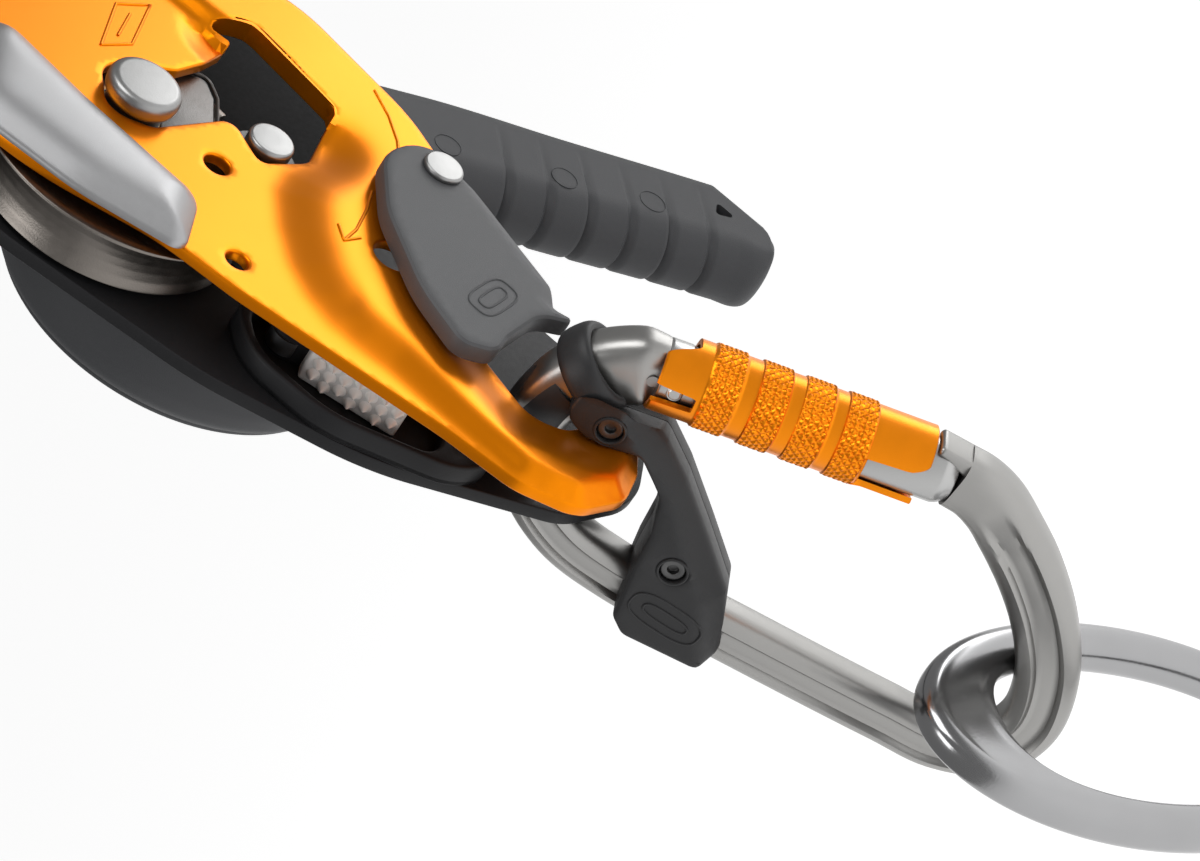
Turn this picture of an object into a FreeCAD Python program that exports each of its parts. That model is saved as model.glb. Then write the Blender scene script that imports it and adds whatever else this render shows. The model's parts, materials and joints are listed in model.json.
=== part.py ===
import FreeCAD, Part
import os
import math
import Sketcher

# Self-braking rope grab with its connector, positioning bar and ring, in millimetres.
# Row frame: the origin is the middle of the attachment hole, +Z runs up the load line,
# -Y is the front (moving plate) side and +X is to the right as the front is seen.

os.makedirs("parts", exist_ok=True)
doc = FreeCAD.newDocument("rope_grab")
V = FreeCAD.Vector

# ---------------------------------------------------------------- driving dimensions
SIZES = {
    "half_gap": 7.5, "back_plate_thick": 3.0, "front_plate_thick": 2.5, "band_rise": 3.0,
    "cam_x": 25.3, "cam_z": 90.0, "cam_half_width": 6.3, "cam_radius": 31.0,
    "cam_axle_radius": 6.0, "cam_head_radius": 7.6, "cam_head_face": 14.7, "cam_head_thick": 4.5,
    "cam_offset_x": -8.3, "cam_offset_z": -2.0,
    "hub_x": 32.5, "hub_z": 63.1, "hub_radius": 40.0, "hub_front": 12.2, "hub_back": 33.0,
    "hub_wall": 4.0, "hub_pin_radius": 3.5, "hub_pin_head": 4.8, "hub_boss_radius": 9.0,
    "pivot_x": 50.0, "pivot_z": 122.0, "pivot_radius": 5.0,
    "gate_pin_x": 40.0, "gate_pin_z": 31.0, "gate_pin_radius": 4.2,
    "side_gate_back": 13.2, "side_gate_face": 17.4,
    "catch_x": -4.0, "catch_z": 47.0, "catch_half_width": 6.0,
    "grip_front": 13.0, "grip_back": 31.0,
    "brake_face": 14.6,
    "bow_radius": 5.3, "link_gate_radius": 4.4,
    "hinge_y": -26.2, "hinge_z": -15.5, "nose_y": -34.6, "nose_z": -74.0,
    "sleeve_radius": 8.2, "sleeve_bore": 6.5, "carrier_radius": 6.1, "carrier_bore": 4.8,
    "sleeve_start": 3.0, "sleeve_length": 48.5,
    "bar_half_width": 9.3, "bar_screw_radius": 2.6,
    "ring_x": -1.5, "ring_z": -135.0, "ring_long": 46.4, "ring_short": 23.0,
    "ring_tilt": 30.5, "ring_stock": 4.5,
    "rivet_radius": 2.4, "button_radius": 7.0,
}
sheet = doc.addObject("Spreadsheet::Sheet", "dims")
for row, (name, value) in enumerate(SIZES.items(), start=1):
    sheet.set("A%d" % row, name)
    sheet.set("B%d" % row, str(value))
    sheet.setAlias("B%d" % row, name)
doc.recompute()


def size(name):
    """One driving dimension as a number."""
    return SIZES[name]


def bound(words):
    """Sheet words such as 'half_gap + 1' turned into an expression on the sheet."""
    spaced = str(words).replace("(", "( ").replace(")", " )")
    return " ".join("dims." + word if word in SIZES else word for word in spaced.split())


def place(obj, x="0", y="0", z="0", turn=None):
    """Binds an object's position to the sheet, with a fixed turn."""
    obj.Placement = FreeCAD.Placement(V(0, 0, 0), turn or FreeCAD.Rotation())
    for axis, words in (("x", x), ("y", y), ("z", z)):
        obj.setExpression("Placement.Base." + axis, bound(words))
    return obj


ALONG_Y = FreeCAD.Rotation(V(1, 0, 0), -90)
ALONG_X = FreeCAD.Rotation(V(0, 1, 0), 90)
made = []


def named(obj, label):
    """Marks an object as a finished sub-part."""
    obj.Label = label
    made.append(obj)
    return obj


def rod(x, z, y_from, length, radius):
    """A cylinder along +Y."""
    obj = doc.addObject("Part::Cylinder", "rod")
    obj.setExpression("Radius", bound(radius))
    obj.setExpression("Height", bound(length))
    return place(obj, x, y_from, z, ALONG_Y)


def rod_along_x(x_from, y, z, length, radius):
    """A cylinder along +X."""
    obj = doc.addObject("Part::Cylinder", "cross_rod")
    obj.setExpression("Radius", bound(radius))
    obj.setExpression("Height", bound(length))
    return place(obj, x_from, y, z, ALONG_X)


def block(x, y, z, length, width, height):
    """A box from its low corner."""
    obj = doc.addObject("Part::Box", "block")
    obj.setExpression("Length", bound(length))
    obj.setExpression("Width", bound(width))
    obj.setExpression("Height", bound(height))
    return place(obj, x, y, z)


def joined(*objs):
    """One fused object."""
    obj = doc.addObject("Part::MultiFuse", "joined")
    obj.Shapes = list(objs)
    obj.Refine = True
    return obj


def less(base, *tools):
    """The base with each tool cut away."""
    for tool in tools:
        obj = doc.addObject("Part::Cut", "less")
        obj.Base = base
        obj.Tool = tool
        obj.Refine = True
        base = obj
    return base


def corner_arcs(points):
    """Lines and arcs of a closed outline; each point is (across, up, corner radius)."""
    edges = []
    count = len(points)
    ends = []
    for i, (px, pz, radius) in enumerate(points):
        here = V(px, pz, 0)
        before = V(points[i - 1][0], points[i - 1][1], 0) - here
        after = V(points[(i + 1) % count][0], points[(i + 1) % count][1], 0) - here
        half = before.getAngle(after) / 2
        if radius <= 0 or abs(half - math.pi / 2) < 0.01:
            ends.append((here, None, here))
            continue
        run = radius / math.tan(half)
        run = min(run, 0.49 * before.Length, 0.49 * after.Length)
        true_radius = run * math.tan(half)
        first = here + before.normalize() * run
        last = here + after.normalize() * run
        middle_way = (before + after).normalize()
        centre = here + middle_way * (true_radius / math.sin(half))
        crown = centre - middle_way * true_radius
        ends.append((first, crown, last))
    for i in range(count):
        first, crown, last = ends[i]
        following = ends[(i + 1) % count][0]
        if crown is not None:
            edges.append(Part.Arc(first, crown, last))
        if (following - last).Length > 1e-6:
            edges.append(Part.LineSegment(last, following))
    return edges


def padded(plane, points, start, depth, circles=(), cuts=()):
    """A PartDesign body: an outline padded from its plane.

    On XZ_Plane the pad grows toward -Y from y = start, on YZ_Plane toward +X from x = start.
    circles are round holes (across, up, radius) and cuts are inner outlines.
    """
    body = doc.addObject("PartDesign::Body", "body")
    origin_plane = [o for o in body.Origin.OriginFeatures if o.Role == plane][0]
    sketch = body.newObject("Sketcher::SketchObject", "outline")
    sketch.AttachmentSupport = [(origin_plane, "")]
    sketch.MapMode = "FlatFace"
    for edge in corner_arcs(points):
        sketch.addGeometry(edge, False)
    for across, up, radius in circles:
        sketch.addGeometry(Part.Circle(V(across, up, 0), V(0, 0, 1), radius), False)
    for inner in cuts:
        for edge in corner_arcs(inner):
            sketch.addGeometry(edge, False)
    pad = body.newObject("PartDesign::Pad", "pad")
    pad.Profile = sketch
    pad.setExpression("Length", bound(depth))
    body.Tip = pad
    if plane == "XZ_Plane":
        place(body, y=start)
    else:
        place(body, x=start)
    return body


def swept(points, radius):
    """A round bar swept along a smooth line in the plane x = 0; points are (y, z)."""
    path = doc.addObject("Sketcher::SketchObject", "path")
    path.Placement = FreeCAD.Placement(V(0, 0, 0), FreeCAD.Rotation(V(1, 1, 1), 120))
    curve = Part.BSplineCurve()
    curve.interpolate([V(y, z, 0) for y, z in points])
    path.addGeometry(curve, False)
    doc.recompute()
    start = curve.value(curve.FirstParameter)
    way = curve.tangent(curve.FirstParameter)[0]
    ring = doc.addObject("Part::Circle", "bar_section")
    ring.setExpression("Radius", bound(radius))
    ring.Placement = FreeCAD.Placement(V(0, start.x, start.y),
                                       FreeCAD.Rotation(V(0, 0, 1), V(0, way.x, way.y)))
    sweep = doc.addObject("Part::Sweep", "bar")
    sweep.Sections = [ring]
    sweep.Spine = (path, ["Edge1"])
    sweep.Solid = True
    sweep.Frenet = False
    return sweep


# ---------------------------------------------------------------- fixed frame
BACK_OUTLINE = [(6, -30, 16), (-9, -16, 14), (-22, 24, 60), (-20, 60, 60), (-8, 104, 60), (8, 138, 34),
                (76, 142, 36), (97, 106, 40), (96, 66, 30), (76, 38, 40), (48, 6, 22), (38, -16, 22),
                (23, -30, 14)]
HOLE_X, HOLE_Z, HOLE_RADIUS = 3.4, -7.2, 11.2


def fixed_side_plate():
    """The steel plate that carries every axle, with the attachment hole at its foot."""
    circles = [(size("cam_x"), size("cam_z"), 5.0), (size("hub_x"), size("hub_z"), 7.6),
               (size("pivot_x"), size("pivot_z"), 4.0), (HOLE_X, HOLE_Z, HOLE_RADIUS),
               (size("catch_x"), size("catch_z"), 1.8), (2, 22, 1.6), (-9, 8, 1.6),
               (72, 92, 1.6), (68, 106, 1.6)]
    body = padded("XZ_Plane", BACK_OUTLINE, "half_gap + back_plate_thick", "back_plate_thick", circles)
    return named(body, "fixed_side_plate")


def cam_axle():
    """Stepped axle: broad head in front of the moving plate, riveted neck in the fixed plate."""
    head = rod("cam_x", "cam_z", "0 - cam_head_face", "cam_head_thick", "cam_head_radius")
    shaft = rod("cam_x", "cam_z", "0 - cam_head_face + 1", "cam_head_face - 1 + half_gap",
                "cam_axle_radius")
    neck = rod("cam_x", "cam_z", "half_gap - 0.5", "back_plate_thick + 0.5", "4.98")
    return named(joined(head, shaft, neck), "cam_axle")


def axle_washer():
    """Flat washer between the cam and the fixed plate."""
    disc = rod("cam_x", "cam_z", "cam_half_width + 0.4", "0.7", "11")
    bore = rod("cam_x", "cam_z", "cam_half_width", "2", "cam_axle_radius + 0.05")
    return named(less(disc, bore), "axle_washer")


def hub_axle():
    """Axle of the handle: its small round head shows in the moving plate's window."""
    head = rod("hub_x", "hub_z", "0 - 11", "3.2", "hub_pin_head")
    shaft = rod("hub_x", "hub_z", "0 - 8", "hub_back + 6", "hub_pin_radius")
    return named(joined(head, shaft), "hub_axle")


def plate_pivot():
    """Rivet and spacer on which the moving plate swings."""
    head = rod("pivot_x", "pivot_z", "0 - half_gap - front_plate_thick - 2.4", "2.2",
               "pivot_radius + 2")
    shaft = rod("pivot_x", "pivot_z", "0 - half_gap - front_plate_thick - 1",
                "2 * half_gap + front_plate_thick + 3.5", "3.95")
    tail = rod("pivot_x", "pivot_z", "half_gap + back_plate_thick + 0.02", "1.2", "pivot_radius + 0.5")
    named(joined(head, shaft, tail), "plate_pivot_pin")
    sleeve = rod("pivot_x", "pivot_z", "0 - half_gap + 0.2", "2 * half_gap - 0.25",
                 "pivot_radius + 2.5")
    bore = rod("pivot_x", "pivot_z", "0 - half_gap", "2 * half_gap + 1", "4.02")
    named(less(sleeve, bore), "pivot_spacer")


HOUSING = [(4, 60, 12), (-13, 54, 16), (-21, 36, 24), (-18, 8, 20), (-9, 0, 6), (4, 12, 8), (8, 30, 30)]
HOUSING_POCKET = [(2, 56, 8), (-11, 51, 12), (-18.4, 35, 20), (-16, 15, 5), (-5, 15, 3), (-2.5, 26, 5),
                  (2, 38, 10)]


def catch_housing():
    """Black moulding on the fixed plate, a dish that shields the catch, held by two rivets."""
    rivet_holes = [(-9, 8, 1.6), (2, 22, 1.6)]
    floor = padded("XZ_Plane", HOUSING, "half_gap - 0.02", "1.0",
                   rivet_holes + [(size("catch_x"), size("catch_z"), 1.8)])
    wall = padded("XZ_Plane", HOUSING, "half_gap - 0.9", "4.1", rivet_holes, [HOUSING_POCKET])
    named(joined(floor, wall), "catch_housing")


def rivets(label, places, y_from, length, radius="1.55", head_radius="rivet_radius", head_y=None):
    """A group of equal rivets with flat heads."""
    pieces = []
    for x, z in places:
        shank = rod(str(x), str(z), y_from, length, radius)
        head = rod(str(x), str(z), head_y or y_from, "1", head_radius)
        pieces.append(joined(shank, head))
    if len(pieces) == 1:
        return named(pieces[0], label)
    group = doc.addObject("Part::Compound", "rivet_group")
    group.Links = pieces
    return named(group, label)


def rope_shoe():
    """Steel shoe that the cam would pinch the rope against."""
    outline = [(64, 84, 3), (78, 84, 5), (78, 104, 6), (66, 116, 5), (60, 112, 3), (66, 98, 12)]
    shoe = padded("XZ_Plane", outline, "half_gap - 0.02", "2 * half_gap - 0.3",
                  [(72, 92, 1.6), (68, 106, 1.6)])
    named(shoe, "rope_shoe")


# ---------------------------------------------------------------- moving side plate
FRONT_OUTLINE = [(-10, -22, 10), (-28, -16, 9), (-30, 0, 12), (-15, 62, 40), (-8, 100, 60),
                 (4, 136, 30), (64, 142, 34), (80, 92, 50), (76, 60, 20), (52, 33, 24),
                 (33, 12, 20), (18, 6, 5), (12, 14, 4), (-1, 12.5, 4), (-10.5, 0, 7),
                 (-6, -11.5, 6), (6, -11, 3), (7, -20, 5)]
WINDOW = [(25, 64, 2), (32.2, 54.8, 4), (50, 52.8, 3.5), (63.5, 73.5, 1.5), (59, 82.5, 1),
          (57, 76, 0.8), (47, 79.6, 6), (40, 84.5, 4), (31.5, 98.8, 6), (17.6, 95, 6),
          (19.4, 85.5, 4), (34, 71.5, 3)]
BAND = [(-10, -22, 10), (-28, -16, 9), (-26, 2, 18), (-8, 38, 50), (18, 62, 20), (30, 51, 6),
        (50, 47.5, 8), (69, 76, 10), (62, 96, 6), (68, 128, 10), (80, 92, 50), (76, 60, 20),
        (52, 33, 24), (33, 12, 20), (21, 9, 5), (14, 18, 5), (0, 18, 6), (-14, 6, 10),
        (-17, -4, 8), (-15, -14, 5)]


def moving_side_plate():
    """Painted plate with its window, raised band, attachment notch and rope lead-in."""
    band_holes = [(13, 35, 3.4), (size("gate_pin_x"), size("gate_pin_z"), 2.05)]
    holes = band_holes + [(18, 71.8, 2.7), (-7, 63, 2.4), (8, 100, 1.6), (16, 116, 1.6),
                          (size("pivot_x"), size("pivot_z"), 4.02)]
    flat = padded("XZ_Plane", FRONT_OUTLINE, "0 - half_gap", "front_plate_thick", holes, [WINDOW])
    band = padded("XZ_Plane", BAND, "0 - half_gap - front_plate_thick + 0.2", "band_rise + 0.2",
                  band_holes)
    named(joined(flat, band), "moving_side_plate")


def auxiliary_brake():
    """Satin steel shoe over the moving plate's left edge."""
    outline = [(-12, 73, 5), (3, 73, 6), (8.5, 84, 10), (14, 99, 30), (28, 121, 8), (10, 126, 8),
               (-6, 102, 40)]
    cover = padded("XZ_Plane", outline, "0 - half_gap - front_plate_thick - 0.05",
                   "brake_face - half_gap - front_plate_thick - 0.05",
                   [(8, 100, 1.6), (16, 116, 1.6)])
    named(cover, "auxiliary_brake")


def gate_pin():
    """Rivet and washer on which the side gate turns."""
    head = rod("gate_pin_x", "gate_pin_z", "0 - side_gate_face - 1.2", "1.1", "gate_pin_radius")
    shank = rod("gate_pin_x", "gate_pin_z", "0 - side_gate_face - 0.6",
                "side_gate_face + 0.6 - half_gap", "2.0")
    named(joined(head, shank), "gate_rivet")


SIDE_GATE = [(47.5, 36, 9), (37, 43.5, 10), (20, 40, 22), (2, 30, 30), (-9.5, 20.5, 5),
             (-6.5, 12.3, 5), (0, 10.6, 9), (11, 5.5, 8), (14.2, -1.8, 1.2), (18.5, 2.2, 1),
             (24, 3.2, 8), (42.5, 22.5, 12)]


def side_gate():
    """Plastic gate over the attachment notch, with a pocket for its spring."""
    plate = padded("XZ_Plane", SIDE_GATE, "0 - side_gate_back", "side_gate_face - side_gate_back",
                   [(size("gate_pin_x"), size("gate_pin_z"), 2.06)])
    pocket = rod("gate_pin_x", "gate_pin_z", "0 - side_gate_back - 1.8", "3", "4.0")
    named(less(plate, pocket), "side_gate")
    coil = rod("gate_pin_x", "gate_pin_z", "0 - side_gate_back - 1.6", "1.4", "3.8")
    bore = rod("gate_pin_x", "gate_pin_z", "0 - side_gate_back - 3", "4", "2.6")
    named(less(coil, bore), "side_gate_spring")


# ---------------------------------------------------------------- cam
def cam():
    """Grooved cam: two flange discs and a smaller core, eccentric on its axle."""
    x, z = "cam_x + cam_offset_x", "cam_z + cam_offset_z"
    front = rod(x, z, "0 - cam_half_width", "2.2", "cam_radius")
    back = rod(x, z, "cam_half_width - 2.2", "2.2", "cam_radius - 3")
    core = rod(x, z, "0 - cam_half_width + 1", "2 * cam_half_width - 2", "cam_radius - 7")
    bore = rod("cam_x", "cam_z", "0 - cam_half_width - 1", "2 * cam_half_width + 2",
               "cam_axle_radius + 1.5")
    relief = rod("hub_x", "hub_z", "0 - cam_half_width - 1", "2 * cam_half_width + 2", "13.5")
    named(less(joined(front, back, core), bore, relief), "cam")
    bush = rod("cam_x", "cam_z", "0 - cam_half_width", "2 * cam_half_width",
               "cam_axle_radius + 1.48")
    hole = rod("cam_x", "cam_z", "0 - cam_half_width - 1", "2 * cam_half_width + 2",
               "cam_axle_radius + 0.05")
    named(less(bush, hole), "cam_bush")


# ---------------------------------------------------------------- anti-error catch
CATCH = [(-8, 50, 4), (0.5, 51.5, 4.5), (0, 42.5, 4), (-9, 22, 2), (-13.5, 21, 1), (-11, 38.5, 3)]


def catch():
    """Toothed catch on its own axle, with pyramid teeth on the rope side."""
    body = padded("XZ_Plane", CATCH, "catch_half_width", "2 * catch_half_width",
                  [(size("catch_x"), size("catch_z"), 1.8)])
    slope = math.atan2(2.5, 17.5)
    turn = FreeCAD.Rotation(V(0, 1, 0), -90 - math.degrees(slope))
    teeth = []
    for row in range(5):
        along = 2.6 + 3.2 * row
        for column in range(4):
            y = -4.3 + 2.5 * column + (1.1 if row % 2 else 0.0)
            tooth = doc.addObject("Part::Cone", "tooth")
            tooth.Radius1 = 1.1
            tooth.Radius2 = 0.1
            tooth.Height = 1.7
            base = V(-11 - along * math.sin(slope) + 0.2, y, 38.5 - along * math.cos(slope))
            tooth.Placement = FreeCAD.Placement(base, turn)
            teeth.append(tooth)
    spring_space = rod("catch_x", "catch_z", "catch_half_width - 5", "6", "3.9")
    named(less(joined(body, *teeth), spring_space), "catch_plate")
    coil = rod("catch_x", "catch_z", "catch_half_width - 4.8", "3.5", "3.6")
    named(less(coil, rod("catch_x", "catch_z", "0 - catch_half_width", "12", "2.6")), "catch_spring")


def catch_axle():
    """Pin of the catch, pressed into the fixed plate."""
    pin = rod("catch_x", "catch_z", "0 - catch_half_width - 0.9",
              "catch_half_width + half_gap + back_plate_thick + 0.8", "1.76")
    head = rod("catch_x", "catch_z", "0 - catch_half_width - 1.2", "1", "3")
    named(joined(pin, head), "catch_axle")


# ---------------------------------------------------------------- handle
def handle():
    """Cup-shaped hub, ribbed grip, drive lobe between the plates, and the rear cover."""
    cup = rod("hub_x", "hub_z", "hub_front", "hub_back - hub_front - 2", "hub_radius")
    hollow = rod("hub_x", "hub_z", "hub_front - 1", "hub_back - hub_front - hub_wall - 1",
                 "hub_radius - hub_wall")
    boss = rod("hub_x", "hub_z", "hub_front", "hub_back - hub_front - 3", "hub_boss_radius")
    bore = rod("hub_x", "hub_z", "hub_front - 1", "hub_back - hub_front + 2",
               "hub_pin_radius + 0.06")
    button_seat = rod("hub_x + 22", "hub_z + 8", "hub_back - 12", "14", "button_radius + 0.35")
    seat_wall = rod("hub_x + 22", "hub_z + 8", "hub_back - 14", "12", "button_radius + 2.2")
    clip_space = rod("hub_x", "hub_z", "hub_back - 3", "2", "hub_pin_radius + 2.4")
    lobe_space = rod("hub_x", "hub_z", "hub_front - 1", "4.8", "7.22")
    hub = less(joined(less(cup, hollow), boss, seat_wall), bore, button_seat, clip_space, lobe_space)
    named(hub, "handle_hub")
    cover = rod("hub_x", "hub_z", "hub_back - 1.98", "1.98", "hub_radius - 3")
    named(less(cover, rod("hub_x", "hub_z", "hub_back - 3", "4", "hub_pin_radius + 0.06"),
               rod("hub_x + 22", "hub_z + 8", "hub_back - 3", "4", "button_radius + 0.35")), "hub_cover")
    outline = [(60, 92, 20), (104, 40, 30), (129, -37, 4), (128, -56, 10), (113, -57, 8),
               (92, -5, 20), (66, 38, 12)]
    grip = padded("XZ_Plane", outline, "grip_back", "grip_back - grip_front", [(122, -41, 2.2)])
    cup_space = rod("hub_x", "hub_z", "hub_front - 2", "30", "hub_radius + 0.02")
    named(less(grip, cup_space), "handle_grip")
    sleeve = rod("hub_x", "hub_z", "0 - cam_half_width + 0.2", "cam_half_width + hub_front + 3.5", "7.2")
    lobe = rod("hub_x - 2.2", "hub_z + 1", "0 - cam_half_width + 0.2", "2 * cam_half_width - 0.4", "8")
    keyed = rod("hub_x", "hub_z", "0 - cam_half_width - 1", "40", "hub_pin_radius + 0.06")
    named(less(joined(sleeve, lobe), keyed), "drive_lobe")


def hub_parts():
    """Return spring in the hub, its retaining screw head, the button and its spring."""
    coil = rod("hub_x", "hub_z", "hub_front + 5", "6", "hub_boss_radius + 4.6")
    inner = rod("hub_x", "hub_z", "hub_front + 4", "8", "hub_boss_radius + 0.4")
    named(less(coil, inner), "return_spring")
    cap = rod("hub_x", "hub_z", "hub_back - 2.9", "0.85", "hub_pin_radius + 2.2")
    named(less(cap, rod("hub_x", "hub_z", "hub_back - 4", "5", "hub_pin_radius + 0.01")), "axle_clip")
    named(rod("hub_x + 22", "hub_z + 8", "hub_back - 6", "7.5", "button_radius"), "push_button")
    spring = rod("hub_x + 22", "hub_z + 8", "hub_back - 11.9", "3.6", "4.5")
    named(less(spring, rod("hub_x + 22", "hub_z + 8", "hub_back - 13", "6", "3.2")), "button_spring")


# ---------------------------------------------------------------- connector
FRAME_LINE = [(-35.3, -75.4), (-35, -80), (-33.2, -85), (-29.6, -90.5), (-23.5, -98.5), (-15, -107),
              (-4, -114.4), (8, -117.6), (17, -114.5), (21.6, -105), (21.8, -92), (21.2, -60),
              (20.2, -32), (17.2, -18.5), (9.5, -7.5), (-1.5, -1.9), (-13, -2.6), (-21.5, -7.6),
              (-25.4, -14.2)]


GATE_WAY = V(0, size("nose_y") - size("hinge_y"), size("nose_z") - size("hinge_z"))
GATE_TURN = FreeCAD.Rotation(V(0, 0, 1), GATE_WAY)


def gate_point(along):
    """The point at a distance along the connector gate from its hinge."""
    return V(0, size("hinge_y"), size("hinge_z")) + GATE_WAY / GATE_WAY.Length * along


def gate_rod(along, length, radius):
    """A cylinder on the connector gate's own line."""
    obj = doc.addObject("Part::Cylinder", "gate_rod")
    obj.setExpression("Radius", bound(radius))
    obj.setExpression("Height", bound(length))
    obj.Placement = FreeCAD.Placement(gate_point(along), GATE_TURN)
    return obj


def link_frame():
    """The forged body of the connector, with its hinge fork and its nose."""
    bar = swept(FRAME_LINE, "bow_radius")
    fork_space = gate_rod(0.2, "12", "6.3")
    hinge_slot = block("0 - 2.2", "hinge_y - 6", "hinge_z - 4", "4.4", "12", "6.5")
    nose_space = gate_rod(57, "3.6", "7.5")
    hole = rod_along_x("0 - 8", "hinge_y", "hinge_z", "16", "1.25")
    named(less(bar, fork_space, hinge_slot, nose_space, hole), "connector_frame")
    named(rod_along_x("0 - 5", "hinge_y", "hinge_z", "10", "1.2"), "gate_hinge_pin")


def link_gate():
    """Gate arm with its hinge tongue and the shoulder at the nose."""
    arm = gate_rod(3.0, "57.3", "link_gate_radius")
    tongue = less(gate_rod(-2.0, "7", "3.0"), block("2", "hinge_y - 9", "hinge_z - 12", "9", "18", "20"),
                  block("0 - 11", "hinge_y - 9", "hinge_z - 12", "9", "18", "20"))
    hole = rod_along_x("0 - 8", "hinge_y", "hinge_z", "16", "1.26")
    named(less(joined(arm, tongue), hole, gate_rod(8, "30", "1.6")), "gate_arm")
    named(gate_rod(9, "28", "1.3"), "gate_spring")


def link_sleeve():
    """Inner carrier of the locking sleeve, its spring and the knurled sleeve itself."""
    carrier = less(gate_rod(6, "44", "carrier_radius"), gate_rod(4, "50", "carrier_bore"))
    named(carrier, "sleeve_carrier")
    spring = less(gate_rod(50.4, "4", "5.9"), gate_rod(49, "8", "5.0"))
    named(spring, "sleeve_spring")
    sleeve = less(gate_rod(size("sleeve_start") + 2, "sleeve_length", "sleeve_radius"),
                  gate_rod(0, "70", "sleeve_bore"))
    named(sleeve, "locking_sleeve")


# ---------------------------------------------------------------- positioning bar
BAR_ARM = [(-20.5, -5, 3), (-12.5, -5, 3), (-10.6, -10, 3), (-10.8, -16, 3), (-12.3, -21.5, 3),
           (-4.5, -29.8, 6), (4, -32.4, 8), (23.5, -35, 3), (26.8, -38, 3), (26.6, -55, 3),
           (22, -57, 3), (9.4, -51.5, 4), (0.4, -42.5, 10), (-9.7, -32.1, 10), (-15.8, -24.6, 4),
           (-19.5, -17, 4)]
BAR_CLAMP = [(8, -33.4, 3), (23.5, -35, 3), (26.8, -38, 3), (26.6, -55, 3), (22, -57, 3), (9.4, -51.5, 3)]
BAR_SCREWS = [(-14.8, -13.1), (7.8, -39.0)]
COLLAR = V(0, -19.6, -6.2)


def bar_half(side, label):
    """One shell of the positioning bar; side is -1 for the front shell and 1 for the rear one."""
    clamp_from, arm_from = ("0 - bar_half_width",) * 2 if side < 0 else ("0.05", "3.6")
    clamp = padded("YZ_Plane", BAR_CLAMP, clamp_from, "bar_half_width - 0.05")
    arm = padded("YZ_Plane", BAR_ARM, arm_from, "bar_half_width - 3.6")
    collar = doc.addObject("Part::Cylinder", "collar")
    collar.Radius = 8.1
    collar.Height = 4.4
    way = V(0, 11, 6.4).normalize()
    collar.Placement = FreeCAD.Placement(COLLAR - way * 2.2, FreeCAD.Rotation(V(0, 0, 1), way))
    half_space = block("0 - 0.05" if side < 0 else "0 - 19.95", "0 - 60", "0 - 60", "20", "80", "80")
    collar_half = less(collar, half_space)
    stock = swept(FRAME_LINE, "bow_radius + 0.02")
    sleeve_space = gate_rod(-2, "70", "sleeve_radius + 1.1")
    screws = [rod_along_x("0 - 12", str(y), str(z), "24", "1.4") for y, z in BAR_SCREWS]
    named(less(joined(clamp, arm, collar_half), stock, sleeve_space, *screws), label)


def bar_screws():
    """Two screws that hold the shells together."""
    pieces = []
    for y, z in BAR_SCREWS:
        shank = rod_along_x("0 - bar_half_width", str(y), str(z), "2 * bar_half_width", "1.38")
        head = rod_along_x("0 - bar_half_width - 0.6", str(y), str(z), "0.6", "bar_screw_radius")
        pieces.append(joined(shank, head))
    group = doc.addObject("Part::Compound", "screw_group")
    group.Links = pieces
    named(group, "bar_screws")


# ---------------------------------------------------------------- ring
def attachment_ring():
    """Forged oval ring through the connector's lower bow."""
    path = doc.addObject("Part::Ellipse", "ring_line")
    path.setExpression("MajorRadius", bound("ring_long"))
    path.setExpression("MinorRadius", bound("ring_short"))
    tilt = math.radians(size("ring_tilt"))
    long_way = V(math.sin(tilt), 0, -math.cos(tilt))
    short_way = V(math.cos(tilt), 0, math.sin(tilt))
    middle = V(size("ring_x"), 0, size("ring_z"))
    path.Placement = FreeCAD.Placement(middle, FreeCAD.Rotation(long_way, short_way, V(0, 0, 0), "XYZ"))
    section = doc.addObject("Part::Circle", "ring_section")
    section.setExpression("Radius", bound("ring_stock"))
    section.Placement = FreeCAD.Placement(middle + long_way * size("ring_long"),
                                          FreeCAD.Rotation(V(0, 0, 1), short_way))
    ring = doc.addObject("Part::Sweep", "ring")
    ring.Sections = [section]
    ring.Spine = (path, ["Edge1"])
    ring.Solid = True
    named(ring, "attachment_ring")


fixed_side_plate()
cam_axle()
axle_washer()
hub_axle()
plate_pivot()
catch_housing()
rivets("housing_rivets", [(-9, 8), (2, 22)], "half_gap - 6", "9", head_y="half_gap - 6")
rope_shoe()
rivets("shoe_rivets", [(72, 92), (68, 106)], "0 - half_gap + 0.3", "2 * half_gap + back_plate_thick",
       head_y="half_gap + back_plate_thick")
moving_side_plate()
auxiliary_brake()
rivets("brake_rivets", [(8, 100), (16, 116)], "0 - brake_face - 1.02", "brake_face - half_gap - 0.1")
gate_pin()
side_gate()
cam()
catch()
catch_axle()
handle()
hub_parts()
link_frame()
link_gate()
link_sleeve()
bar_half(-1, "bar_front_shell")
bar_half(1, "bar_rear_shell")
bar_screws()
attachment_ring()
doc.recompute()

# ---------------------------------------------------------------- checks and files
for obj in doc.Objects:
    if "Invalid" in obj.State or "Error" in obj.State:
        raise RuntimeError("%s (%s) did not build: %s" % (obj.Name, obj.Label, obj.State))
for obj in made:
    if obj.Shape.isNull() or not obj.Shape.isValid() or not obj.Shape.Solids:
        raise RuntimeError("%s has no sound solid" % obj.Label)
    obj.Shape.exportStep("parts/%s.step" % obj.Label)
print("%d parts" % len(made))
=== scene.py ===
import json
import math
import bmesh
import bpy
import numpy as np
from mathutils import Matrix, Vector
from mathutils.geometry import delaunay_2d_cdt


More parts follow.
